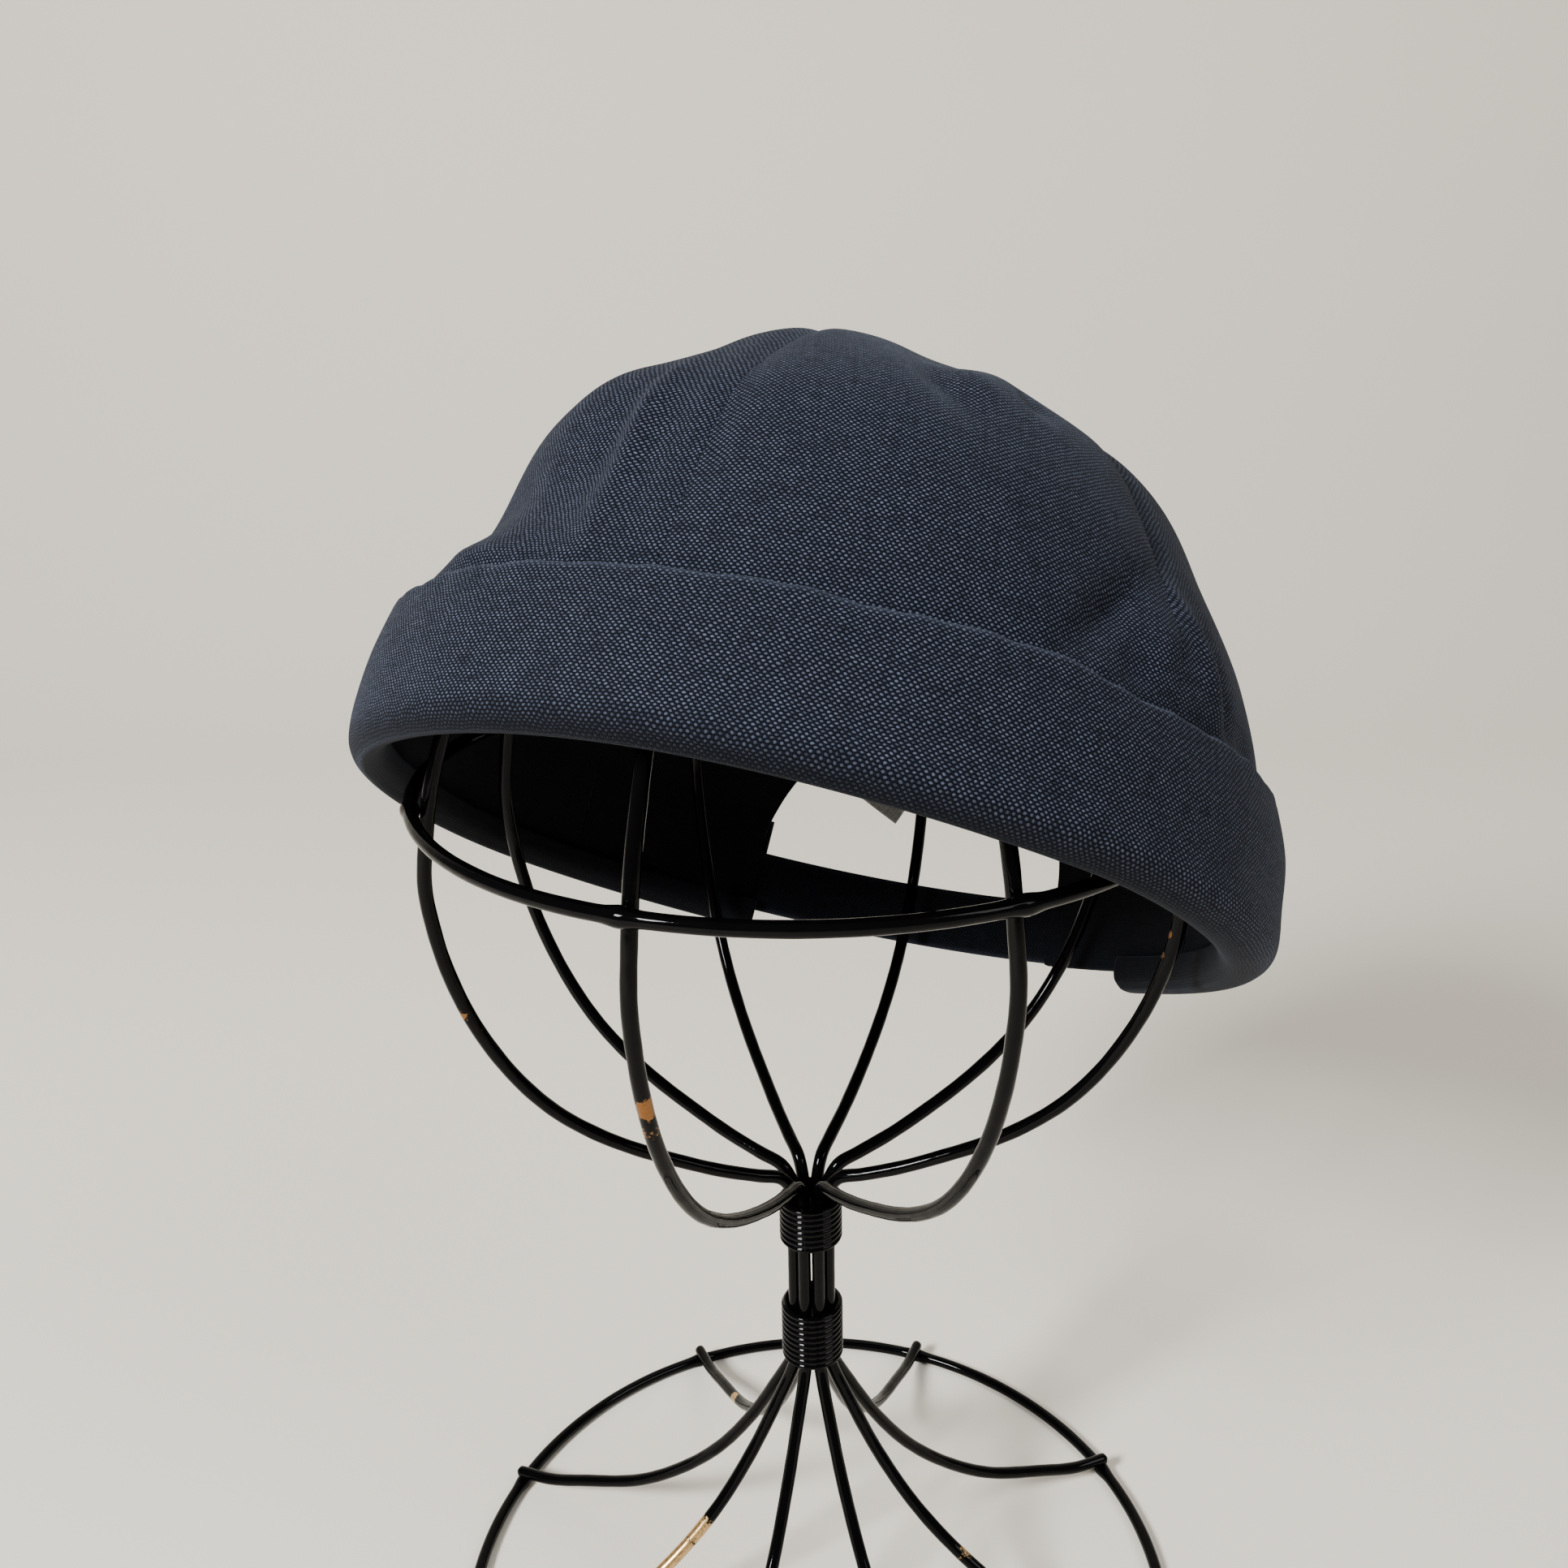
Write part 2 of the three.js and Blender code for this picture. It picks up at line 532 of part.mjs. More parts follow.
function collarGeometry(bottom, height) {
  const inner = stemRadius + wireReach + SEAM_GAP;
  const turns = Math.max(2, Math.round(height / COLLAR_TURN));
  const outline = [new THREE.Vector2(inner, bottom)];
  for (let i = 0; i < turns; i++) {
    const low = bottom + (height * i) / turns;
    const step = height / turns;
    outline.push(new THREE.Vector2(inner + COLLAR_WALL * 0.6, low + step * 0.02));
    outline.push(new THREE.Vector2(inner + COLLAR_WALL, low + step * 0.5));
  }
  outline.push(new THREE.Vector2(inner + COLLAR_WALL * 0.6, bottom + height));
  outline.push(new THREE.Vector2(inner, bottom + height));
  outline.push(outline[0].clone());
  const ring = new THREE.LatheGeometry(outline, 16);
  ring.rotateX(Math.PI / 2);
  return closed(ring);
}

add(stand, 'upper_collar', collarGeometry(STEM_HEAD_Z - UPPER_COLLAR_HEIGHT, UPPER_COLLAR_HEIGHT), paint());
add(stand, 'lower_collar', collarGeometry(STEM_FOOT_Z, LOWER_COLLAR_HEIGHT), paint());

const disc = new THREE.LatheGeometry([
  new THREE.Vector2(0, discTop - TOP_DISC_HEIGHT),
  new THREE.Vector2(TOP_DISC_RADIUS * 0.9, discTop - TOP_DISC_HEIGHT),
  ...[...DISC_DOME].reverse().map((row) => new THREE.Vector2(
    row.out * TOP_DISC_RADIUS,
    discTop - row.drop * TOP_DISC_HEIGHT,
  )),
], 16);
disc.rotateX(Math.PI / 2);
add(stand, 'cage_top_disc', closed(disc), paint());

hatAndStand.add(stand);
hatAndStand.add(cap);

// The origin is the middle of the bottom of the whole object's box.
hatAndStand.updateMatrixWorld(true);
const box = new THREE.Box3().setFromObject(hatAndStand, true);
hatAndStand.position.set(-(box.min.x + box.max.x) / 2, -(box.min.y + box.max.y) / 2, -box.min.z);

export default hatAndStand;
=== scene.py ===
"""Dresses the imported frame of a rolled-cuff cloth cap on a bent-wire hat stand."""

import bpy
import numpy as np
from bpy.props import FloatProperty, FloatVectorProperty, PointerProperty
from mathutils import Matrix, Vector


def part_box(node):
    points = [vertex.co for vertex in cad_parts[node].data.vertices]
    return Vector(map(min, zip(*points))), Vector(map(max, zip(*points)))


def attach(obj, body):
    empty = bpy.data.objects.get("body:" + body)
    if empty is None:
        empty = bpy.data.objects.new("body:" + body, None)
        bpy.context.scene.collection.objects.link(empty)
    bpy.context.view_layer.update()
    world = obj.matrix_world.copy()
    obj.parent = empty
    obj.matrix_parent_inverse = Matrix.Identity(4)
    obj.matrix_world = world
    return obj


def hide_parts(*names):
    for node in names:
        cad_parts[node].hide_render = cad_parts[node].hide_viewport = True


bl_info = {
    "name": "Rolled-cuff cap on a wire stand",
    "version": (1, 0, 0),
    "blender": (4, 5, 0),
    "location": "View3D > Sidebar > Cap and stand",
    "description": "Builds the canvas cap, its painted wire stand and a plain studio",
    "category": "Add Mesh",
}

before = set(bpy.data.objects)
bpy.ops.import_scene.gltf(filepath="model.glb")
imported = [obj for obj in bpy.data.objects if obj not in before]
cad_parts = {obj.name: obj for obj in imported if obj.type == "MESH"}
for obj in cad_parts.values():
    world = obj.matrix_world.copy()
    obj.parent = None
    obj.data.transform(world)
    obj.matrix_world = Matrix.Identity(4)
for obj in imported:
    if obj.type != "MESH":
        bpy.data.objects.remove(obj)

# Lengths in the tables and in the shape functions are millimetres from the stand's axis on the
# ground; bearings are degrees from the front, positive to the viewer's right.
MM = 0.001
BASE_LOW, BASE_HIGH = (np.array(corner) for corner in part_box("base_ring"))
STAND_AXIS = np.array([*(BASE_LOW + BASE_HIGH)[:2] / 2, 0.0])
GAP = 0.3

# The cap's own frame: where the middle of its opening sits, and how it is tipped.
CAP_SEAT = np.array([-3.7, -7.5, 207.2])
CAP_BACK, CAP_SIDE, CAP_TURN = 30.5, 16.0, -26.5

# Crown: rows are bearings 0, 30, 60 ... 330 from the front seam, columns the climbs below,
# values the reach of the outside as a share of the crown wall's radius.
CLIMBS = np.array([0.0, 13.0, 26.0, 39.0, 52.0, 65.0, 78.0, 90.0])
CROWN_SHARES = np.array([
    [1, 0.991, 0.995, 0.969, 0.955, 0.916, 0.885, 0.861],
    [1, 0.996, 0.985, 0.963, 0.918, 0.901, 0.882, 0.861],
    [1, 0.976, 0.952, 0.944, 0.909, 0.894, 0.878, 0.861],
    [1, 0.956, 0.919, 0.926, 0.914, 0.895, 0.878, 0.861],
    [1, 0.961, 0.933, 0.917, 0.905, 0.891, 0.877, 0.861],
    [1, 0.968, 0.941, 0.918, 0.901, 0.887, 0.874, 0.861],
    [1, 0.972, 0.943, 0.918, 0.898, 0.883, 0.871, 0.861],
    [1, 0.968, 0.939, 0.913, 0.893, 0.879, 0.869, 0.861],
    [1, 0.961, 0.926, 0.902, 0.887, 0.878, 0.869, 0.861],
    [1, 0.943, 0.907, 0.894, 0.888, 0.882, 0.872, 0.861],
    [1, 0.910, 0.895, 0.905, 0.902, 0.891, 0.878, 0.861],
    [1, 0.927, 0.964, 0.941, 0.919, 0.904, 0.883, 0.861],
])

# Dents (positive depth) and swells of the crown, in degrees of bearing and climb. turn slants
# the fold's long way, depth is a share of the crown wall's radius.
FOLD_COLUMNS = ("bearing", "climb", "span", "reach", "turn", "depth")
CROWN_FOLDS = np.array([
    (-41, 11, 9, 5, 0, 0.013),
    (-30, 4, 9, 3, 0, -0.010),
    (-24, 24, 6, 16, 0, -0.010),
    (-19, 41, 7, 8, 0, 0.014),
    (-17, 17, 5, 15, 0, 0.010),
    (-10.5, 17, 3.5, 15, 0, -0.010),
    (26, 48, 7, 9, 0, 0.016),
    (35, 44, 7, 8, 0, -0.013),
    (27.5, 33.5, 4, 7, 29, 0.007),
    (47, 12, 9, 7, 0, 0.012),
    (50, 9, 3.5, 11, -41, 0.014),
    (62, 8, 8, 6, 0, -0.008),
    (65, 7, 4, 8, 29, -0.007),
    # Small folds that only the cloth itself shows.
    (-17, 20, 3, 2.6, 70, -0.004),
    (-27, 3, 1.6, 12, 78, -0.010),
    (-10.2, 18, 1.9, 15, 2, -0.011),
    (-14.5, 24, 2.4, 14, 2, 0.011),
    (-5.5, 19, 2.6, 12, 2, 0.006),
    (-22, 33, 4.5, 9, 0, -0.007),
    (2.2, 14, 1.1, 14, 3, 0.002),
    (14, 21, 5, 4, 0, 0.004),
    (42, 34, 2.4, 3.4, 20, -0.005),
    (25.0, 36, 2.2, 6, 29, 0.015),
    (31, 37, 3.4, 5, 20, -0.012),
    (41, 38, 2.0, 4, 20, 0.011),
    (50, 10, 2.0, 9, -41, 0.016),
    (54, 4, 3.0, 5, -30, 0.020),
    (58, 8.5, 2.6, 6, -38, -0.016),
    (65.5, 9, 2.0, 9, 29, -0.018),
    (70.5, 7, 2.6, 8, 24, 0.018),
    (78, 3, 5, 3, 0, 0.014),
    (20, 3, 3, 3, -20, 0.003),
    (33, 4, 3, 4, -35, 0.003),
    (105, 9, 4, 8, 20, 0.006),
    (133, 6, 4, 7, -15, 0.006),
    (-75, 8, 4, 8, -22, 0.007),
    (-98, 12, 5, 9, 18, 0.006),
    (-128, 7, 4, 8, -20, 0.007),
])
FOLD_FADE = 3.5                # climb over which folds grow from the cuff's top up
PANEL_FULLNESS = 0.006         # swell in the middle of each panel, a share of the wall's radius
SEAM_DIP = 0.009               # slack at a seam, a share of the wall's radius
SEAM_DIP_SPAN = 2.6            # bearing over which the slack dies away
SWELL_RISE, SWELL_FALL = 16, 25  # climbs over which both grow, and die away again at the top

# Cuff: how far its lip, belly and roll stand out, as shares of the opening's radius, and how
# far its roll lifts, as a share of the cuff's height.
CUFF_SWELL = np.array([
    (-154.0, 0.0, 0.0, 0.0, 0.0),
    (-110.0, 0.0, 0.004, 0.0, 0.0),
    (-60.0, 0.006, 0.006, 0.0, 0.05),
    (0.0, 0.0, 0.0, 0.0, 0.116),
    (50.0, 0.0, 0.010, 0.012, 0.075),
    (90.0, 0.012, 0.035, 0.040, 0.0),
    (136.5, 0.012, 0.045, 0.050, 0.0),
])

# Wavy top edge of the cuff: bearing, and how far it rises, as a share of the cuff's height.
LIP_LINE = np.array([
    (-154.0, 0.0), (-90.0, 0.03), (-34.0, 0.06), (-24.0, 0.08), (0.0, 0.075), (14.0, 0.085), (24.0, 0.065),
    (36.0, 0.10), (43.0, 0.10), (53.0, 0.055), (70.0, 0.07), (95.0, 0.04), (136.5, 0.0),
])

# Cap, in its own frame: heights are above the opening, angles in degrees of bearing.
PANEL_COUNT = 6
CROWN_SPRING = 34.0        # where the upright wall ends and the dome begins
HEM_RISE = 4.6             # lower edge of the panels
BACK_HALF_ANGLE = 27.3     # half the width of the half-moon
BACK_OPENING_TOP = 67.0    # top of the half-moon
CUFF_INNER_LEG = 8.0       # height of the turned-in edge
CUFF_ENDS = (-154.0, 136.5)
STRAP_FOOT, STRAP_TOP, STRAP_LAP = 5.5, 22.3, 5.0
LABEL_LAP, LABEL_TWIST, LABEL_BEARING = 8.1, -26.0, 180.75
ARC_PER_DEGREE = 1.6       # length of cloth for a degree of climb
TOP_HOLE = 0.12            # radius at which the panels end round the crown's very top
CROWN_INSIDE_PAINTED_SHADE, STRAP_INSIDE_PAINTED_SHADE = 0.2, 0.25    # painted shade on the hidden inner sides of the cloth: lower paints them darker

# Stand: bearings of each wire's rib and leg, then the lines that a rib and a leg follow: share
# of the cage's or the base's radius, share of the height.
WIRE_BEARINGS = ((-21.9, -21.5), (26.5, 23.5), (75.5, 68.5), (113.9, 113.5),
                 (156.3, 158.5), (201.1, 203.5), (243.5, 248.5), (285.6, 293.5))
RIB_LINE = np.array([
    (0.06, 0.014), (0.092, 0.033), (0.16, 0.043), (0.27, 0.058), (0.385, 0.079), (0.5, 0.104),
    (0.61, 0.134), (0.72, 0.174), (0.82, 0.228), (0.91, 0.3), (0.965, 0.37), (0.99, 0.425),
    (1.0, 0.475), (0.985, 0.53), (0.96, 0.588), (0.915, 0.65), (0.845, 0.725), (0.735, 0.8),
    (0.585, 0.875), (0.41, 0.935), (0.24, 0.978), (0.095, 1.0),
])
LEG_LINE = np.array([
    (0.062, 0.95), (0.108, 0.84), (0.19, 0.66), (0.3, 0.475), (0.43, 0.325), (0.58, 0.205), (0.77, 0.122),
])
STEM_FOOT, STEM_HEAD = 76.0, 123.0    # heights between which the wires run straight
CAGE_RING_Z = 232.5                   # height of the cage ring
COLLARS = (("upper_winding", "upper_collar", 110.7, 12.3), ("lower_winding", "lower_collar", 76.0, 16.0))
COLLAR_TURN = 3.4                     # height of two turns of the winding
WIRE_SIDES, COLLAR_SIDES, DISC_SIDES, HOOP_CELLS = 22, 96, 48, 420

# Where the paint has chipped off the wires: x, y, z and size.
PAINT_CHIPS = (
    (-29.2, -75.0, 193.0, 3.4), (-29.6, -71.8, 187.5, 3.0),
    (-75.4, -20.8, 184.5, 2.4), (-72.5, -20.0, 180.0, 1.8),
    (77.0, -21.0, 201.0, 1.5), (76.0, -20.2, 196.0, 1.3),
    (-30.0, -11.8, 31.0, 5.5), (-36.5, -14.6, 25.5, 8.0),
    (-44.0, -18.0, 20.5, 8.0), (-52.0, -21.5, 17.0, 8.0),
    (38.0, -13.6, 24.0, 3.2), (44.5, -16.2, 19.2, 3.6),
    (-24.5, 53.0, 14.5, 2.6),
)

# Camera of the picture: place, heading, pitch and roll.
CAMERA_PLACE = np.array([0.286, -305.397, 332.854])
CAMERA_YAW, CAMERA_PITCH, CAMERA_ROLL = -0.88939, -18.74346, -1.14957


# ---------- settings ----------

class CapSettings(bpy.types.PropertyGroup):
    opening_radius: FloatProperty(
        name="Opening radius", description="Inside radius of the rolled edge", default=0.0916,
        unit="LENGTH")
    panel_cloth: FloatProperty(
        name="Panel cloth", description="Thickness of one crown panel", default=0.0016, unit="LENGTH")
    cuff_cloth: FloatProperty(
        name="Cuff cloth", description="Thickness of the doubled cuff", default=0.0024, unit="LENGTH")
    cuff_height: FloatProperty(
        name="Cuff height", description="Height of the turned-up cuff", default=0.032, unit="LENGTH")
    strap_cloth: FloatProperty(
        name="Strap cloth", description="Thickness of the back strap", default=0.0014, unit="LENGTH")
    label_width: FloatProperty(
        name="Label width", description="Width of the blank label", default=0.02, unit="LENGTH")
    label_length: FloatProperty(
        name="Label length", description="Length of the blank label", default=0.036, unit="LENGTH")
    label_cloth: FloatProperty(
        name="Label cloth", description="Thickness of the label", default=0.001, unit="LENGTH")
    thread_pitch: FloatProperty(
        name="Thread pitch", description="Distance between threads", default=0.00056, precision=5,
        unit="LENGTH")
    warp_colour: FloatVectorProperty(
        name="Warp", description="Dark threads", default=(0.0018, 0.0028, 0.0074), subtype="COLOR")
    weft_colour: FloatVectorProperty(
        name="Weft", description="Pale threads", default=(0.054, 0.064, 0.094), subtype="COLOR")
    label_colour: FloatVectorProperty(
        name="Label", description="Grey label cloth", default=(0.30, 0.30, 0.29), subtype="COLOR")


class StandSettings(bpy.types.PropertyGroup):
    wire: FloatProperty(
        name="Wire", description="Diameter of the bent wire", default=0.0032, unit="LENGTH")
    base_ring_radius: FloatProperty(
        name="Base ring", description="Radius of the ring on the ground", default=0.0924, unit="LENGTH")
    cage_radius: FloatProperty(
        name="Cage radius", description="Widest radius of the cage wires", default=0.0835, unit="LENGTH")
    winding: FloatProperty(
        name="Winding", description="Thickness of the wire wound on the stem", default=0.0013,
        unit="LENGTH")
    weld: FloatProperty(
        name="Weld", description="How far a weld stands proud of a ring", default=0.0005, unit="LENGTH")
    paint_colour: FloatVectorProperty(
        name="Paint", description="Black stove paint", default=(0.0008, 0.0008, 0.0010), subtype="COLOR")
    metal_colour: FloatVectorProperty(
        name="Bare metal", description="Brassy wire under the paint", default=(0.78, 0.50, 0.22),
        subtype="COLOR")


class StudioSettings(bpy.types.PropertyGroup):
    ground_colour: FloatVectorProperty(
        name="Ground", description="Pale floor and backdrop", default=(0.90, 0.85, 0.745), subtype="COLOR")
    key_power: FloatProperty(
        name="Key light", description="Power of the large light", default=52.0, unit="POWER")
    fill_power: FloatProperty(
        name="Fill light", description="Power of the light opposite", default=12.0, unit="POWER")
    sky_strength: FloatProperty(
        name="Sky", description="Strength of the even light all round", default=0.2)
    lens: FloatProperty(
        name="Lens", description="Focal length for a sensor 36 mm wide", default=33.352, unit="CAMERA")


# ---------- arithmetic ----------

def bell(x, width):
    """A bump: e to the power of minus x squared over width squared."""
    return np.exp(-(x / width) ** 2)


def ease(x):
    """Runs smoothly from 0 to 1 while x does: 3 x squared less 2 x cubed."""
    t = np.clip(x, 0.0, 1.0)
    return t * t * (3 - 2 * t)


def wrapped(degrees):
    """The same bearing between -180 and 180."""
    return (degrees + 180) % 360 - 180


def ripple(x, *periods):
    """Mean of sine waves of those periods, each started at its own place, between -1 and 1."""
    waves = [np.sin(2 * np.pi * x / period + 1.7 * (k + 1) ** 2) for k, period in enumerate(periods)]
    return sum(waves) / len(waves)


def through(t, before, start, end, after):
    """Catmull-Rom: the cubic from start to end whose slopes are half the chords either side."""
    return (2 * start + (end - before) * t
            + (2 * before - 5 * start + 4 * end - after) * t ** 2
            + (3 * start - before - 3 * end + after) * t ** 3) / 2


def toward(bearing):
    """Level unit vector at a bearing: sine across, minus cosine in depth."""
    a = np.radians(bearing)
    return np.stack([np.sin(a), -np.cos(a), np.zeros_like(a)], axis=-1)


def cylinder_point(bearing, out, height):
    """The point that far out along a bearing, at a height."""
    bearing, out, height = np.broadcast_arrays(bearing, out, height)
    point = toward(bearing) * out[..., None]
    point[..., 2] = height
    return point


def unit(vectors):
    """Vectors over their own lengths."""
    return vectors / np.maximum(np.linalg.norm(vectors, axis=-1, keepdims=True), 1e-12)


def round_steps(count):
    """Bearings of that many even steps all the way round."""
    return np.arange(count) * 360 / count


def turn_matrix(axis, degrees):
    """Rotation matrix about X, Y or Z."""
    return np.array(Matrix.Rotation(np.radians(degrees), 3, axis))


CAP_TURNED = turn_matrix("Y", CAP_SIDE) @ turn_matrix("X", -CAP_BACK) @ turn_matrix("Z", CAP_TURN)


def on_stand(points):
    """Points of the cap's own frame carried to where the cap rests on the stand."""
    return points @ CAP_TURNED.T + CAP_SEAT


# ---------- meshes ----------

def lattice(rows, cols, round_rows=False, round_cols=False):
    """Corner numbers of the four-sided faces of a grid of points, joined round where asked."""
    r, c = np.meshgrid(np.arange(rows if round_rows else rows - 1),
                       np.arange(cols if round_cols else cols - 1), indexing="ij")
    up, on = (r + 1) % rows, (c + 1) % cols
    return np.stack([r * cols + c, r * cols + on, up * cols + on, up * cols + c], -1).reshape(-1, 4)


def placed(name, data):
    """A new object in the scene."""
    obj = bpy.data.objects.new(name, data)
    bpy.context.scene.collection.objects.link(obj)
    return obj


def make_piece(name, form, material, slot, *nodes):
    """Puts a form, its points, faces and where it is cloth its weave and marks, into a mesh
    object that stands for its frame nodes, faces outward."""
    points, faces, uv, marks = (*form, None, {})[:4]
    points = points.reshape(-1, 3) * MM + STAND_AXIS
    a, b, c, d = (points[faces[:, k]] for k in range(4))
    if np.sum(a * np.cross(b, c)) + np.sum(a * np.cross(c, d)) < 0:
        faces = faces[:, ::-1]
    corners = np.ascontiguousarray(faces).ravel()
    mesh = bpy.data.meshes.new(name)
    mesh.vertices.add(len(points))
    mesh.vertices.foreach_set("co", points.ravel())
    mesh.loops.add(len(corners))
    mesh.loops.foreach_set("vertex_index", corners)
    mesh.polygons.add(len(faces))
    mesh.polygons.foreach_set("loop_start", np.arange(0, len(corners), 4))
    mesh.polygons.foreach_set("use_smooth", np.ones(len(faces), dtype=bool))
    if uv is not None:
        layer = mesh.uv_layers.new(name="weave")
        layer.data.foreach_set("uv", uv.reshape(-1, 2)[corners].ravel())
    for mark, values in marks.items():
        attribute = mesh.attributes.new(mark, "FLOAT", "POINT")
        attribute.data.foreach_set("value", np.ascontiguousarray(values).ravel())
    mesh.update(calc_edges=True)
    if mesh.validate():
        raise ValueError(f"{name}: the mesh has faces that had to be mended")
    mesh.materials.append(material)
    obj = placed(name, mesh)
    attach(obj, "root")
    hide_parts(*nodes)
    return obj


def wall_mesh(middle, normal, half):
    """Closed wall: the middle surface moved out and in along its normal by half its thickness,
    the two faces joined by a strip all round the rim."""
    rows, cols = middle.shape[:2]
    count = rows * cols
    points = np.concatenate([(middle + normal * half[..., None]).reshape(-1, 3),
                             (middle - normal * half[..., None]).reshape(-1, 3)])
    face = lattice(rows, cols)
    rim = np.concatenate([np.arange(cols), np.arange(1, rows) * cols + cols - 1,
                          count - 1 - np.arange(1, cols), np.arange(rows - 2, 0, -1) * cols])
    on = np.roll(rim, -1)
    strip = np.stack([on, rim, rim + count, on + count], -1)
    return points, np.concatenate([face, face[:, ::-1] + count, strip])


def cloth_form(middle, normal, half, weave, rub, inside, outside=1.0):
    """A wall of the cap carried to the stand, where its cloth's threads lie on it, and the marks
    of its two faces: how rubbed the cloth is, and how far painted shade darkens each side."""
    points, faces = wall_mesh(on_stand(middle), normal @ CAP_TURNED.T, half)
    uv = np.stack(np.broadcast_arrays(*weave), -1) * MM
    # The second mark is painted shade: outer faces take outside, inner faces inside (1 unshaded, lower
    # darker).
    marks = {"rub": np.stack([rub, rub]), "swell_and_painted_light": np.stack([outside + 0 * rub, inside + 0 * rub])}
    return points, faces, np.stack([uv, uv]), marks


def bar_mesh(rings):
    """Closed bar: rings of points joined along it, each end shut by a row of faces across."""
    count, sides = rings.shape[:2]
    k = np.arange(sides // 2 - 1)
    foot = np.stack([k + 1, k, sides - 1 - k, sides - 2 - k], -1)
    head = np.stack([k, k + 1, sides - 2 - k, sides - 1 - k], -1) + (count - 1) * sides
    return rings.reshape(-1, 3), np.concatenate([lattice(count, sides, round_cols=True), foot, head])


def rings_along(path, aside, radius, sides):
    """Circles square to a path: cosine and sine of the angle times two normals, one of them
    square to the direction aside."""
    along = unit(np.gradient(path, axis=0))
    first = unit(np.cross(along, aside))
    second = np.cross(along, first)
    a = np.radians(round_steps(sides))[None, :, None]
    spoke = first[:, None] * np.cos(a) + second[:, None] * np.sin(a)
    return path[:, None] + spoke * radius[:, None, None]


def ended(distance, radius, least):
    """Half thickness near an edge, rounded as a circle of that radius, never under least."""
    t = 1 - np.clip(distance / radius, 0.0, 1.0)
    return least + (1 - least) * np.sqrt(1 - t * t)


def from_end(share, whole):
    """Distance to the nearer end of a length, at a share of it."""
    return np.minimum(share, 1 - share) * whole


def crowded(cells, near):
    """Shares 0 to 1 in even cells, with the extra shares near each end that round an edge."""
    near = np.asarray(near)
    return np.unique(np.round(np.concatenate([near, np.linspace(0, 1, cells + 1), 1 - near]), 7))


# ---------- finishes ----------

class Signal:
    """One output of a material's nodes. Sums and products of signals add Math nodes."""

    def __init__(self, finish, socket):
        self.finish = finish
        self.socket = socket

    def math(self, operation, *values):
        sockets = dict(enumerate((self, *values)))
        return self.finish.node("ShaderNodeMath", {"operation": operation}, sockets)

    def __add__(self, other):
        return self.math("ADD", other)

    __radd__ = __add__

    def __sub__(self, other):
        return self.math("SUBTRACT", other)

    def __rsub__(self, other):
        return (self * -1.0) + other

    def __mul__(self, other):
        return self.math("MULTIPLY", other)

    __rmul__ = __mul__

    def __truediv__(self, other):
        return self.math("DIVIDE", other)

    def __pow__(self, other):
        return self.math("POWER", other)

    def __abs__(self):
        return self.math("ABSOLUTE")

    def held(self, low=0.0, high=1.0):
        """The signal kept between two limits."""
        return self.math("MAXIMUM", low).math("MINIMUM", high)


class Finish:
    """A material and the one way its nodes are added."""

    def __init__(self, name):
        self.material = bpy.data.materials.new(name)
        self.material.use_nodes = True
        self.tree = self.material.node_tree
        self.shader = self.tree.nodes["Principled BSDF"]

    def node(self, kind, settings=None, sockets=None, output=0):
        """Adds a node: its settings first, then its sockets."""
        node = self.tree.nodes.new(kind)
        for name, value in (settings or {}).items():
            setattr(node, name, value)
        for key, value in (sockets or {}).items():
            self.feed(node.inputs[key], value)
        return Signal(self, node.outputs[output])

    def feed(self, socket, value):
        if isinstance(value, Signal):
            self.tree.links.new(value.socket, socket)
        elif socket.type == "RGBA":
            socket.default_value = (*value, 1.0)
        else:
            socket.default_value = value

    def shade(self, **values):
        """Sets the shader's own sockets; underscores in the names stand for spaces."""
        for name, value in values.items():
            self.feed(self.shader.inputs[name.replace("_", " ")], value)

    def mix(self, factor, first, second, blend="MIX"):
        """First colour to second colour as the factor goes from 0 to 1."""
        settings = {"data_type": "RGBA", "blend_type": blend}
        return self.node("ShaderNodeMix", settings, {0: factor, 6: first, 7: second}, 2)

    def vector(self, operation, first, second, output=0):
        """Two vectors joined by a Vector Math node."""
        return self.node("ShaderNodeVectorMath", {"operation": operation}, {0: first, 1: second}, output)

    def grey(self, value):
        """One value for all three parts of a colour."""
        return self.node("ShaderNodeCombineColor", None, dict.fromkeys(range(3), value))

    def place(self):
        """Object coordinates."""
        return self.node("ShaderNodeTexCoord", output=3)

    def noise(self, vector, scale, detail=2.0, roughness=0.5):
        """Cloudy value between 0 and 1."""
        sockets = {"Vector": vector, "Scale": scale, "Detail": detail, "Roughness": roughness}
        return self.node("ShaderNodeTexNoise", None, sockets)

    def stretched(self, vector, scale):
        """A vector multiplied by a scale along each axis."""
        return self.node("ShaderNodeMapping", None, {"Vector": vector, "Scale": scale})


def toned(colour, share):
    """A colour with all its parts multiplied by a share."""
    return tuple(share * part for part in colour)


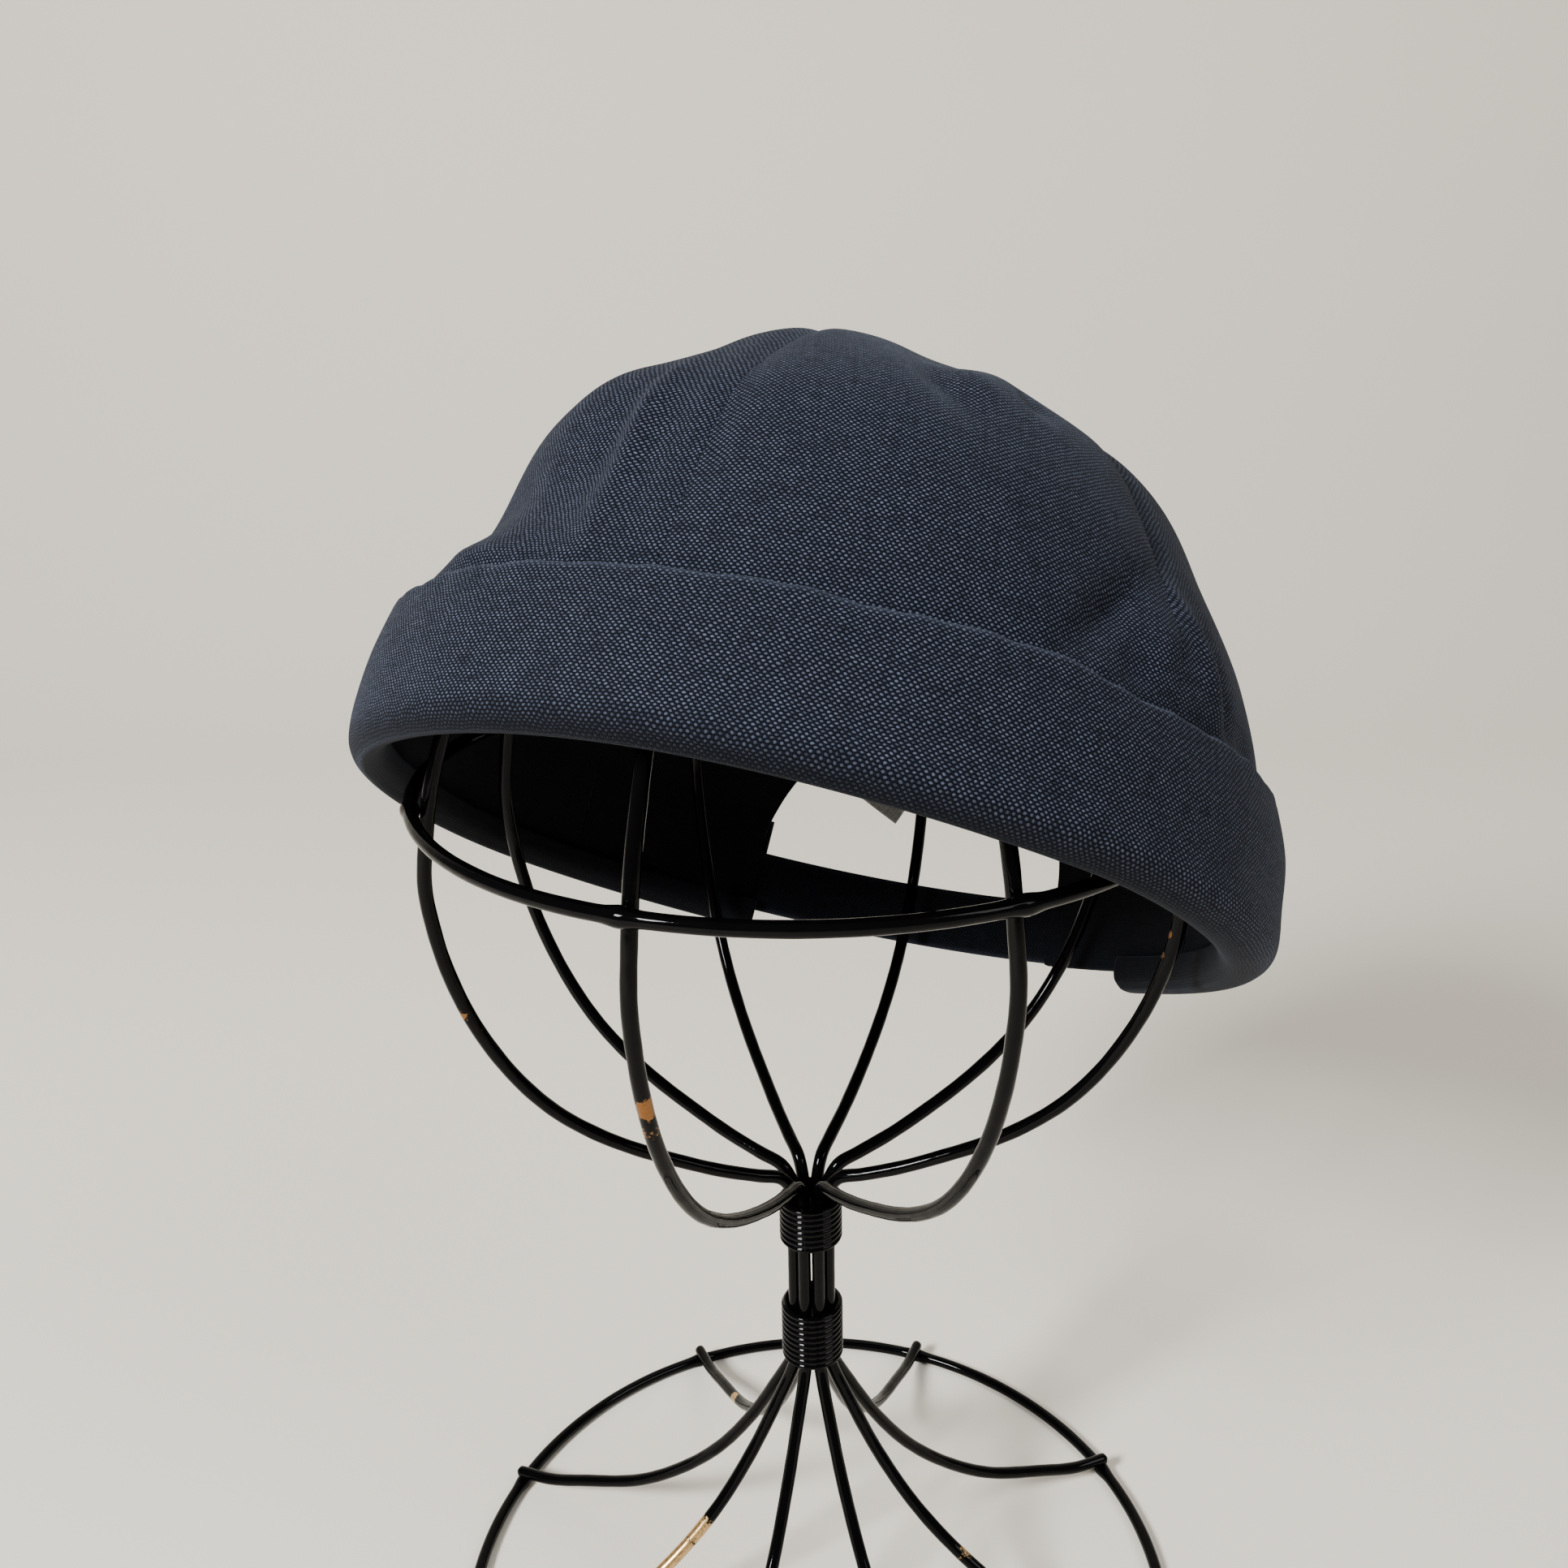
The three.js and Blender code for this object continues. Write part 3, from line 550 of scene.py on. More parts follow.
def canvas_finish(name, warp, weft, pitch, relief):
    """Plain weave on the piece's UV map, in metres of cloth. Each thread is a ridge, the sine of
    its place across; it climbs over and dips under the other threads by the sine of the place
    along, with the sign of its own number odd or even. The higher thread shows."""
    finish = Finish(name)
    uv = finish.node("ShaderNodeUVMap", {"uv_map": "weave"})
    drift = finish.node("ShaderNodeTexNoise", {"noise_dimensions": "2D"}, {"Vector": uv, "Scale": 260.0}, 1)
    strayed = finish.vector("SUBTRACT", drift, (0.5, 0.5, 0.5))
    strayed = finish.vector("ADD", uv, finish.vector("MULTIPLY", strayed, (pitch * 1.3,) * 3))
    places = [finish.node("ShaderNodeSeparateXYZ", None, {0: strayed}, way) / pitch for way in (0, 1)]
    numbers = [place.math("FLOOR") for place in places]
    warp_wave, weft_wave = ((place * np.pi).math("SINE") for place in places)
    warp_sign, weft_sign = (1.0 - number.math("FLOORED_MODULO", 2.0) * 2.0 for number in numbers)
    crossing = finish.node("ShaderNodeCombineXYZ", None, dict(enumerate(numbers)))
    chance = finish.node("ShaderNodeTexWhiteNoise", {"noise_dimensions": "2D"}, {"Vector": crossing})
    warp_top = abs(warp_wave) ** 0.6 * (0.6 + 0.4 * (warp_sign * weft_wave))
    weft_top = abs(weft_wave) ** 0.6 * (0.6 - 0.4 * (weft_sign * warp_wave))
    weft_shows = ((weft_top - warp_top) * 4.0 + 0.2).held()
    height = warp_top.math("MAXIMUM", weft_top)

    slub, streak = (finish.noise(finish.stretched(uv, scale), 1.0, 3.0, 0.6)
                    for scale in ((120.0, 900.0, 1.0), (1100.0, 90.0, 1.0)))
    cloud = finish.noise(finish.place(), 16.0, 3.0, 0.55)
    # The second mark is painted shade: 1 on the cloth's outer faces, lower on its hidden inner faces and
    # under the cuff's roll.
    rub, swell_and_painted_light = (finish.node("ShaderNodeAttribute", {"attribute_name": mark}, None, 2)
                 for mark in ("rub", "swell_and_painted_light"))
    # Painted shade dims the pale threads on the hidden faces.
    strength = (slub * 1.5 + streak * 1.1 + cloud * 0.4 + chance * 0.6 - 0.8).held(0.08, 3.0) * swell_and_painted_light
    pale = finish.mix(1.0, weft, finish.grey(strength), "MULTIPLY")
    dark = finish.mix((streak * 1.6 - 0.3).held(), warp, toned(warp, 1.9))
    threads = finish.mix(weft_shows, dark, pale)
    # Painted shade in the weave's hollows: where the threads lie low the colour goes toward a tenth of the
    # warp.
    hollow_shaded = finish.mix((height * 2.4 - 1.0).held(), toned(warp, 0.1), threads)
    colour = finish.mix((rub * (0.25 + 0.5 * slub)).held(), hollow_shaded, toned(weft, 1.25))
    # Painted shade: the whole colour darkened on the hidden faces, down to 0.45 where the mark is 0.
    colour = finish.mix(1.0, colour, finish.grey(0.45 + 0.55 * swell_and_painted_light), "MULTIPLY")
    bump = finish.node("ShaderNodeBump", None, {"Strength": 0.8, "Distance": relief,
                                                "Height": height + slub * 0.5})
    finish.shade(Base_Color=colour, Roughness=0.78 + 0.16 * cloud, Normal=bump, Sheen_Weight=0.05,
                 Sheen_Roughness=0.38, Sheen_Tint=(0.62, 0.74, 1.0), Specular_IOR_Level=0.10)
    return finish.material


def paint_finish(name, colour, metal, chips):
    """Thick gloss paint: shallow cloudy runs in its surface, and coppered wire where a chip's
    distance from its middle, roughened by noise, is under its size."""
    finish = Finish(name)
    place = finish.place()
    runs = finish.noise(place, 240.0, 2.0, 0.5)
    grain = finish.noise(place, 1500.0, 3.0, 0.6)
    bare = None
    for x, y, z, size in chips:
        middle = tuple(np.array([x, y, z]) * MM + STAND_AXIS)
        away = finish.vector("DISTANCE", place, middle, 1)
        spot = 1.0 - away / (size * MM)
        bare = spot if bare is None else bare.math("MAXIMUM", spot)
    tone = finish.mix(runs, colour, toned(colour, 1.8))
    rough = 0.03 + 0.06 * runs
    height = runs + grain * 0.06
    coat = 0.04
    if bare is not None:
        shows = ((bare + grain * 1.1 - 0.75) * 9.0).held()
        level = finish.node("ShaderNodeSeparateXYZ", None, {0: place}, 2)
        copper = tuple(np.array(metal) * (0.30, 0.17, 0.10))
        plate = finish.mix(((level - 0.06) * 50.0).held(), metal, copper)
        rust = finish.mix((grain * 2.2 - 0.8).held(), plate, toned(metal, 0.25))
        finish.shade(Metallic=shows)
        tone = finish.mix(shows, tone, rust)
        rough = rough + shows * 0.25
        coat = coat - coat * shows
        height = height - shows * 0.5
    bump = finish.node("ShaderNodeBump", None, {"Strength": 0.25, "Distance": 0.0003, "Height": height})
    finish.shade(Base_Color=tone, Roughness=rough, Normal=bump, Coat_Weight=coat, Coat_Roughness=0.04,
                 Specular_IOR_Level=0.07)
    return finish.material


def ground_finish(name, colour):
    """Matt pale board with a faint cloud in its tone."""
    finish = Finish(name)
    cloud = finish.noise(finish.place(), 3.0, 3.0, 0.5)
    finish.shade(Base_Color=finish.mix(cloud, toned(colour, 0.97), colour), Roughness=0.9)
    return finish.material


def shared(name, maker, *values):
    """The finish of that name, made the first time it is asked for."""
    return bpy.data.materials.get(name) or maker(name, *values)


def canvas(cap):
    """The cap's own cloth."""
    return shared("navy_weave", canvas_finish, tuple(cap.warp_colour), tuple(cap.weft_colour),
                  cap.thread_pitch, 0.00012)


def paint(stand, name="black_paint", chips=()):
    """The stand's paint, whole or chipped."""
    return shared(name, paint_finish, tuple(stand.paint_colour), tuple(stand.metal_colour), chips)


# ---------- cap shapes ----------

def wall_radius(cap):
    """Outside radius of the crown's upright wall: opening, cuff's inner leg, gap and panel."""
    return (cap.opening_radius + cap.cuff_cloth * 0.6 + cap.panel_cloth) / MM + GAP


def section_share(row, climb):
    """Reach in one row of the crown's table, by Catmull-Rom through its climbs."""
    k = np.clip(np.searchsorted(CLIMBS, climb, side="right") - 1, 0, len(CLIMBS) - 2)
    t = (climb - CLIMBS[k]) / (CLIMBS[k + 1] - CLIMBS[k])
    pick = [CROWN_SHARES[row, np.clip(k + step, 0, len(CLIMBS) - 1)] for step in (-1, 0, 1, 2)]
    return through(t, *pick)


def crown_reach(cap, bearing, climb):
    """Distance of the crown's outside from the middle of the cuff's top: the table by
    Catmull-Rom both ways, a slight crown on each panel, a slack at its seams, and the folds."""
    count = len(CROWN_SHARES)
    at = (bearing % 360) * count / 360
    k = np.floor(at).astype(int)
    share = through(at - k, *(section_share((k + step) % count, climb) for step in (-1, 0, 1, 2)))
    from_seam = np.abs(wrapped(bearing * PANEL_COUNT)) / PANEL_COUNT
    swell_and_painted_light = ease(climb / SWELL_RISE) * ease((90 - climb) / SWELL_FALL)
    share = share + swell_and_painted_light * (PANEL_FULLNESS * np.sin(np.pi * from_seam * PANEL_COUNT / 360)
                            - SEAM_DIP * bell(from_seam, SEAM_DIP_SPAN))
    for row in CROWN_FOLDS:
        fold = dict(zip(FOLD_COLUMNS, row))
        side, up = wrapped(bearing - fold["bearing"]), climb - fold["climb"]
        c, s = np.cos(np.radians(fold["turn"])), np.sin(np.radians(fold["turn"]))
        share = share - ease(climb / FOLD_FADE) * fold["depth"] * (
            bell(side * c + up * s, fold["span"]) * bell(up * c - side * s, fold["reach"]))
    return share * wall_radius(cap)


def crown_skin(cap, bearing, arc):
    """Outside of the crown: below arc 0 an upright wall, above it the point at that climb and
    reach from the middle of the cuff's top."""
    climb = np.maximum(arc, 0) / ARC_PER_DEGREE
    reach = crown_reach(cap, bearing, climb)
    tilt = np.radians(climb)
    height = CROWN_SPRING + np.minimum(arc, 0) + reach * np.sin(tilt)
    return cylinder_point(bearing, reach * np.cos(tilt), height)


def crown_normal(cap, bearing, arc):
    """Outward normal of the crown, from the differences of the skin both ways."""
    arc = np.minimum(arc, 88 * ARC_PER_DEGREE)
    aside = crown_skin(cap, bearing + 0.4, arc) - crown_skin(cap, bearing - 0.4, arc)
    up = crown_skin(cap, bearing, arc + 0.5) - crown_skin(cap, bearing, arc - 0.5)
    return unit(np.cross(aside, up))


def arc_at(cap, bearing, height):
    """The arc at which the crown's outside reaches a height."""
    above = np.maximum(height - CROWN_SPRING, 0.0)
    reach = wall_radius(cap) * np.ones_like(bearing)
    for _ in range(6):
        climb = np.degrees(np.arcsin(np.clip(above / reach, 0, 1)))
        reach = crown_reach(cap, bearing, climb)
    return np.where(height < CROWN_SPRING, height - CROWN_SPRING, climb * ARC_PER_DEGREE)


def opening_edge(cap, cells):
    """Lower edge of the panel left of the centre back, from its outer seam to the top of the
    half-moon: along the hem, up the side of the opening, then a quarter of its ellipse."""
    wall = wall_radius(cap)
    half = wall * np.sin(np.radians(BACK_HALF_ANGLE))
    hem, side, arch = 200, 80, 400    # points along each part
    turn = np.linspace(0, np.pi / 2, arch)
    along_hem = wall * np.sin(np.radians(np.linspace(360 / PANEL_COUNT, BACK_HALF_ANGLE, hem)))
    x = np.concatenate([along_hem, np.full(side, half), half * np.cos(turn)])
    z = np.concatenate([np.full(hem, HEM_RISE), np.linspace(HEM_RISE, STRAP_TOP, side),
                        STRAP_TOP + (BACK_OPENING_TOP - STRAP_TOP) * np.sin(turn)])
    length = np.concatenate([[0], np.cumsum(np.hypot(np.diff(x), np.diff(z)) + 1e-9)])
    spot = np.interp(cells, length / length[-1], np.arange(len(x)))
    x, z = (np.interp(spot, np.arange(len(x)), values) for values in (x, z))
    bearing = np.degrees(np.arcsin(x / wall))
    for _ in range(6):
        arc = arc_at(cap, 180 - bearing, z)
        climb = np.radians(np.maximum(arc, 0) / ARC_PER_DEGREE)
        out = crown_reach(cap, 180 - bearing, np.degrees(climb)) * np.cos(climb)
        bearing = np.degrees(np.arcsin(np.clip(x / out, -1, 1)))
    return bearing, arc


def crown_panel(cap, index):
    """A wedge of the crown between two seams. The grid runs from the panel's lower edge to the
    crown's top; on the two back panels the lower edge goes round the half-moon."""
    angle = 360 / PANEL_COUNT
    start = index * angle
    opened = index in (2, 3)
    across = crowded(100, (0.0, 0.0025, 0.006, 0.011, 0.018))
    along = crowded(120, (0.0, 0.002, 0.005, 0.010))
    top = (90 - np.degrees(TOP_HOLE / (CROWN_SHARES[0, -1] * wall_radius(cap)))) * ARC_PER_DEGREE
    low_bearing = start + angle * across
    low_arc = HEM_RISE + cuff_swell(cap, wrapped(low_bearing))[3] - CROWN_SPRING
    if opened:
        away, low_arc = opening_edge(cap, across if index == 2 else 1 - across)
        low_bearing = 180 - away if index == 2 else 180 + away
    share, rise = np.meshgrid(across, along)
    bearing = low_bearing * (1 - rise) + (start + angle * share) * rise
    arc = low_arc * (1 - rise) + top * rise
    skin = crown_skin(cap, bearing, arc)
    out = np.hypot(skin[..., 0], skin[..., 1])
    width = np.radians(angle) * out
    wobble = 0.4 * ripple(arc, 9.0, 5.3, 14.0) * ease(out / 20)
    bearing = bearing + np.degrees(wobble / np.maximum(out, 1.0)) * (
        bell(share * width, 5.0) + bell((1 - share) * width, 5.0)) * (0.0 if opened else 1.0)
    normal = crown_normal(cap, bearing, arc)
    side = from_end(share, width)
    foot = rise * (top - low_arc)
    cloth = cap.panel_cloth / MM
    thick = cloth / 2 * ended(side, 2.4, 0.8) * ended(foot, 0.8, 0.1)
    middle = crown_skin(cap, bearing, arc) - normal * (cloth / 2)
    weave = np.radians(bearing - (start + angle / 2)) * out, arc + 0.15 * index
    return cloth_form(middle, normal, thick, weave, 0 * side, CROWN_INSIDE_PAINTED_SHADE)


def eased(table, bearing):
    """The table's columns at each bearing, its rows joined by smooth steps."""
    k = np.clip(np.searchsorted(table[:, 0], bearing, side="right") - 1, 0, len(table) - 2)
    t = ease((bearing - table[k, 0]) / (table[k + 1, 0] - table[k, 0]))
    return table[k] + (table[k + 1] - table[k]) * t[..., None]


def cuff_swell(cap, bearing):
    """How far the cuff's lip, belly and roll stand out and its roll lifts at each bearing."""
    swell = eased(CUFF_SWELL, bearing)
    opening, tall = cap.opening_radius / MM, cap.cuff_height / MM
    return swell[..., 1] * opening, swell[..., 2] * opening, swell[..., 3] * opening, swell[..., 4] * tall


def cuff_section(cap, bearing, count):
    """Middle line of the cuff's section at each bearing: a Catmull-Rom curve from the lip down
    the outer leg, round the roll and up the turned-in edge."""
    opening, cloth, tall = cap.opening_radius / MM, cap.cuff_cloth / MM, cap.cuff_height / MM
    inner = opening + cloth * 0.3
    lip = wall_radius(cap) + GAP + cloth / 2
    pocket = wall_radius(cap) + GAP * 2 + cap.strap_cloth / MM + cloth / 2
    lips, belly, roll, lift = cuff_swell(cap, bearing)
    zero = np.zeros_like(bearing)
    place = bearing * np.pi / 180 * opening
    lip_wave = (eased(LIP_LINE, bearing)[:, 1] * tall + 0.3 * ripple(place, 23.0, 13.0)
                + 0.15 * ripple(place, 9.0, 6.1))
    soft = 0.35 * ripple(place, 83.0, 47.0, 29.0)
    line = np.array([
        (lip + lips, tall + lip_wave),
        (lip + (pocket - lip) * 0.95 + belly * 0.8 + soft * 0.5, tall * 0.73 + zero),
        (pocket + belly + soft, tall * 0.42 + zero),
        (pocket + roll + soft * 0.4, tall * 0.18 + lift * 0.7),
        (pocket - cloth * 0.5 + roll * 0.8, tall * 0.075 + lift),
        ((pocket + inner) / 2 + roll * 0.4, tall * 0.0375 + lift),
        (inner + cloth * 0.5 + zero, tall * 0.06 + lift),
        (inner + zero, tall * 0.13 + lift),
        (inner + zero, CUFF_INNER_LEG + lift),
    ])
    at = crowded(count, (0.0, 0.0015, 0.004, 0.008, 0.014, 0.022)) * (len(line) - 1)
    k = np.clip(np.floor(at).astype(int), 0, len(line) - 2)
    pick = [line[np.clip(k + step, 0, len(line) - 1)] for step in (-1, 0, 1, 2)]
    return through((at - k)[:, None, None], *pick)


def cuff(cap):
    """The turned-up cuff: its section at each bearing, thickened both ways, ends rounded."""
    place = crowded(560, (0.0, 0.0006, 0.0014, 0.0025))
    bearing = CUFF_ENDS[0] + (CUFF_ENDS[1] - CUFF_ENDS[0]) * place
    line = cuff_section(cap, bearing, 72)
    out, up = line[:, 0], line[:, 1]
    slope = unit(np.stack([np.gradient(out, axis=0), np.gradient(up, axis=0)], -1))
    step = np.hypot(np.diff(out, axis=0), np.diff(up, axis=0))
    run = np.concatenate([np.zeros((1, len(bearing))), np.cumsum(step, axis=0)])
    length = np.radians(bearing - bearing[0])[None] * out
    back = np.radians(bearing[-1] - bearing)[None] * out
    cloth = cap.cuff_cloth / MM
    single = 0.6 + 0.4 * ease((out - wall_radius(cap) + 1.6) / 1.6)
    half = cloth / 2 * single * ended(run, 1.2, 0.06) * ended(run[-1] - run, 0.7, 0.1)
    half = half * ended(np.minimum(length, back), 1.2, 0.08)
    normal = toward(np.broadcast_to(bearing, out.shape)) * (-slope[..., 1])[..., None]
    normal[..., 2] = slope[..., 0]
    rub = 0.55 * bell(run - 0.3, 0.8)
    # Painted shade: the face marked outside darkens over the last 16 mm of the section, from under the roll
    # up the turned-in edge, to 0.15 of its tone.
    roll_underside_shade = ease((16.0 - (run[-1] - run)) / 9.0)
    weave = np.radians(bearing) * wall_radius(cap), run - run[-1]
    return cloth_form(cylinder_point(bearing, out, up), normal, half, weave, rub, CROWN_INSIDE_PAINTED_SHADE,
                      1 - 0.85 * roll_underside_shade)


def strap(cap):
    """The band under the half-moon: a strip of a cylinder just outside the crown wall."""
    reach = BACK_HALF_ANGLE + STRAP_LAP
    across, along = crowded(110, (0.0, 0.002, 0.005, 0.009)), crowded(22, (0.0, 0.01, 0.03))
    share, rise = np.meshgrid(across, along)
    bearing = 180 - reach + 2 * reach * share
    cloth = cap.strap_cloth / MM
    out = wall_radius(cap) + GAP + cloth / 2 + 0 * bearing
    tall = STRAP_TOP - STRAP_FOOT
    length = np.radians(2 * reach) * out
    from_side = from_end(rise, tall)
    half = cloth / 2 * ended(from_end(share, length), 0.7, 0.1) * ended(from_side, 0.7, 0.1)
    middle = cylinder_point(bearing, out, STRAP_FOOT + tall * rise)
    weave = np.radians(bearing) * out, tall * rise
    return cloth_form(middle, toward(bearing), half, weave, 0.5 * bell(from_side, 0.9), STRAP_INSIDE_PAINTED_SHADE)


def label(cap):
    """The blank label: a strip laid on the crown's inside above the half-moon, hanging aslant."""
    across, along = crowded(32, (0.0, 0.01, 0.03)), crowded(52, (0.0, 0.006, 0.018))
    share, rise = np.meshgrid(across, along)
    wide, tall = cap.label_width / MM, cap.label_length / MM
    side, drop = (share - 0.5) * wide, (rise - 1) * tall
    c, s = np.cos(np.radians(LABEL_TWIST)), np.sin(np.radians(LABEL_TWIST))
    bearing = LABEL_BEARING + np.degrees((side * c + drop * s) / wall_radius(cap))
    arc = arc_at(cap, bearing, BACK_OPENING_TOP + LABEL_LAP + drop * c - side * s)
    normal = crown_normal(cap, bearing, arc)
    cloth = cap.label_cloth / MM
    from_side = from_end(share, wide)
    half = cloth / 2 * ended(from_side, 0.5, 0.12) * ended(from_end(rise, tall), 0.5, 0.12)
    inset = cap.panel_cloth / MM + GAP * 2 + cloth / 2
    middle = crown_skin(cap, bearing, arc) - normal * inset
    return cloth_form(middle, normal, half, (side, drop), 0.3 * bell(from_side, 0.8), 1.0)


# ---------- stand shapes ----------

def stem_radius(stand):
    """Radius at which eight wires stand side by side round the stem."""
    return (stand.wire / MM + GAP) / 2 / np.sin(np.pi / len(WIRE_BEARINGS))


def wire_corners(stand, index):
    """Points that one wire runs through: the rib's line from the cage's top to the stem, the
    stem, then the leg's line to the base ring."""
    rib, leg = WIRE_BEARINGS[index]
    slot = (index - 0.5) * 360 / len(WIRE_BEARINGS)
    wire, cage = stand.wire / MM, stand.cage_radius / MM
    stem = stem_radius(stand)
    cage_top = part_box("cage_top_disc")[0][2] / MM - GAP - wire / 2
    foot = wire * 1.5 + GAP
    out = RIB_LINE[::-1, 0] * cage
    share = RIB_LINE[::-1, 1]
    swing = slot + (rib - slot) * ease((out - stem) / (cage * 0.3))
    height = STEM_HEAD + (cage_top - STEM_HEAD) * share
    upper = cylinder_point(np.where(share > 0.5, rib, swing), out, height)
    heights = np.array([STEM_HEAD + 0.5, STEM_HEAD - 4, (STEM_HEAD + STEM_FOOT) / 2, STEM_FOOT + 4,
                        STEM_FOOT - 0.5])
    stalk = cylinder_point(slot, stem, heights)
    base = stand.base_ring_radius / MM
    out = LEG_LINE[:, 0] * base
    swing = slot + (leg - slot) * ease((out - stem) / (base * 0.3))
    lower = cylinder_point(swing, out, np.maximum(LEG_LINE[:, 1] * STEM_FOOT, foot))
    end = cylinder_point(leg, [base * 0.9, base + wire / 2], [foot + 0.6, foot])
    return np.concatenate([upper, stalk, lower, end])


def centripetal(corners, count):
    """A smooth line through the corners: cubics whose slopes weigh each chord by the square
    root of its length."""
    p = np.concatenate([[2 * corners[0] - corners[1]], corners, [2 * corners[-1] - corners[-2]]])
    a, b, c, d = p[:-3], p[1:-2], p[2:-1], p[3:]
    root = np.sqrt(np.linalg.norm(np.diff(p, axis=0), axis=1))[:, None]
    r0, r1, r2 = root[:-2], root[1:-1], root[2:]
    leave = ((b - a) / r0 - (c - a) / (r0 + r1) + (c - b) / r1) * r1
    arrive = ((c - b) / r1 - (d - b) / (r1 + r2) + (d - c) / r2) * r1
    t = np.linspace(0, 1, count, endpoint=False)[None, :, None]
    b, c, leave, arrive = b[:, None], c[:, None], leave[:, None], arrive[:, None]
    line = (b + leave * t + (3 * (c - b) - 2 * leave - arrive) * t ** 2
            + (2 * (b - c) + leave + arrive) * t ** 3)
    return np.concatenate([line.reshape(-1, 3), corners[-1:]])


def bent_wire(stand, index):
    """One wire: a circle carried along its line, uneven with paint and rounded at its ends."""
    path = centripetal(wire_corners(stand, index), 12)
    run = np.concatenate([[0], np.cumsum(np.linalg.norm(np.diff(path, axis=0), axis=1))])
    rib, leg = WIRE_BEARINGS[index]
    middle = toward(np.array((rib + leg) / 2))
    aside = np.array([-middle[1], middle[0], 0.0])
    radius = stand.wire / MM / 2 * (1 + 0.022 * ripple(run + 31 * index, 11.0, 17.0, 6.3))
    radius = radius * ended(np.minimum(run, run[-1] - run), 1.4, 0.3)
    return bar_mesh(rings_along(path, aside, radius, WIRE_SIDES))


def hoop(stand, radius, height, bearings):
    """A ring of wire: a circle carried round a level circle, swollen by paint and solder where
    it meets the wires."""
    turn = round_steps(HOOP_CELLS)
    near = np.min(np.abs(wrapped(turn[:, None] - np.array(bearings)[None])), axis=1)
    thick = stand.wire / MM / 2 * (1 + 0.02 * ripple(turn, 24.0, 40.0, 9.0))
    thick = thick + stand.weld / MM * bell(np.radians(near) * radius, 2.4)
    a = np.radians(round_steps(WIRE_SIDES))
    out = radius + thick[:, None] * np.cos(a)
    up = np.maximum(height + thick[:, None] * np.sin(a), 0.0)
    return cylinder_point(turn[:, None], out, up), lattice(HOOP_CELLS, WIRE_SIDES, True, True)


def winding(stand, bottom, height):
    """Thin wire wound round the stem: the outside is a helix of beads, the sine of the height
    less the turn, and the inside is a plain bore."""
    turns = max(2, round(height / COLLAR_TURN)) * 2
    bore = stem_radius(stand) + stand.wire / MM / 2 + GAP
    wall = stand.winding / MM
    a = round_steps(COLLAR_SIDES)
    rise = np.linspace(0, 1, turns * 9 + 1)
    phase = rise[:, None] * turns - a[None] / 360 + 0.04 * ripple(a, 120.0, 51.4)[None]
    bead = np.sqrt(np.clip(1 - (2 * (phase % 1) - 1) ** 2, 0, 1))
    rim = ended(from_end(rise, height), 0.8, 0.2)[:, None]
    outer = bore + wall * rim * (0.35 + 0.65 * bead)
    out = np.concatenate([outer, np.full((2, COLLAR_SIDES), bore)])
    up = np.concatenate([bottom + height * rise, [bottom + height - 0.1, bottom + 0.1]])
    return cylinder_point(a, out, up[:, None]), lattice(len(out), COLLAR_SIDES, True, True)


def top_disc():
    """The cage's top joint: rings up its domed outline."""
    low, high = (np.array(corner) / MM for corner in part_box("cage_top_disc"))
    radius = (high[0] - low[0]) / 2
    tall = high[2] - low[2]
    outline = np.array([(0.02, 0.0), (0.86, 0.0), (0.9, 0.03), (0.99, 0.36), (0.96, 0.48), (0.8, 0.74),
                        (0.62, 0.85), (0.45, 0.93), (0.25, 0.98), (0.02, 1.0)])
    return bar_mesh(cylinder_point(round_steps(DISC_SIDES), outline[:, :1] * radius,
                                   low[2] + outline[:, 1:] * tall))


# ---------- operators ----------

class CAPSTAND_OT_crown(bpy.types.Operator):
    """Builds the six canvas panels of the crown"""
    bl_idname = "capstand.crown"
    bl_label = "Crown panels"

    def execute(self, context):
        cap = context.scene.cap_settings
        for index in range(PANEL_COUNT):
            make_piece(f"canvas_panel_{index + 1}", crown_panel(cap, index), canvas(cap), "navy_canvas",
                       f"crown_panel_{index + 1}")
        return {"FINISHED"}


class CAPSTAND_OT_cuff(bpy.types.Operator):
    """Builds the turned-up cuff with its rolled lower edge"""
    bl_idname = "capstand.cuff"
    bl_label = "Turned-up cuff"

    def execute(self, context):
        cap = context.scene.cap_settings
        make_piece("turned_up_cuff", cuff(cap), canvas(cap), "navy_canvas", "cuff")
        return {"FINISHED"}


class CAPSTAND_OT_strap(bpy.types.Operator):
    """Builds the band across the foot of the back opening"""
    bl_idname = "capstand.strap"
    bl_label = "Back strap"

    def execute(self, context):
        cap = context.scene.cap_settings
        make_piece("canvas_strap", strap(cap), canvas(cap), "navy_canvas", "back_strap")
        return {"FINISHED"}


class CAPSTAND_OT_label(bpy.types.Operator):
    """Builds the blank grey label inside the back of the crown"""
    bl_idname = "capstand.label"
    bl_label = "Blank label"

    def execute(self, context):
        cap = context.scene.cap_settings
        tone = tuple(cap.label_colour)
        finish = shared("grey_label_weave", canvas_finish, toned(tone, 0.7), tone,
                        cap.thread_pitch * 0.55, 0.00005)
        make_piece("blank_label", label(cap), finish, "label_cloth", "inner_label")
        return {"FINISHED"}


class CAPSTAND_OT_wires(bpy.types.Operator):
    """Builds the eight bent wires of the stand"""
    bl_idname = "capstand.wires"
    bl_label = "Bent wires"

    def execute(self, context):
        stand = context.scene.stand_settings
        finish = paint(stand, "chipped_black_paint", PAINT_CHIPS)
        for index in range(len(WIRE_BEARINGS)):
            make_piece(f"bent_wire_{index + 1}", bent_wire(stand, index), finish, "stand_paint",
                       f"stand_wire_{index + 1}")
        return {"FINISHED"}


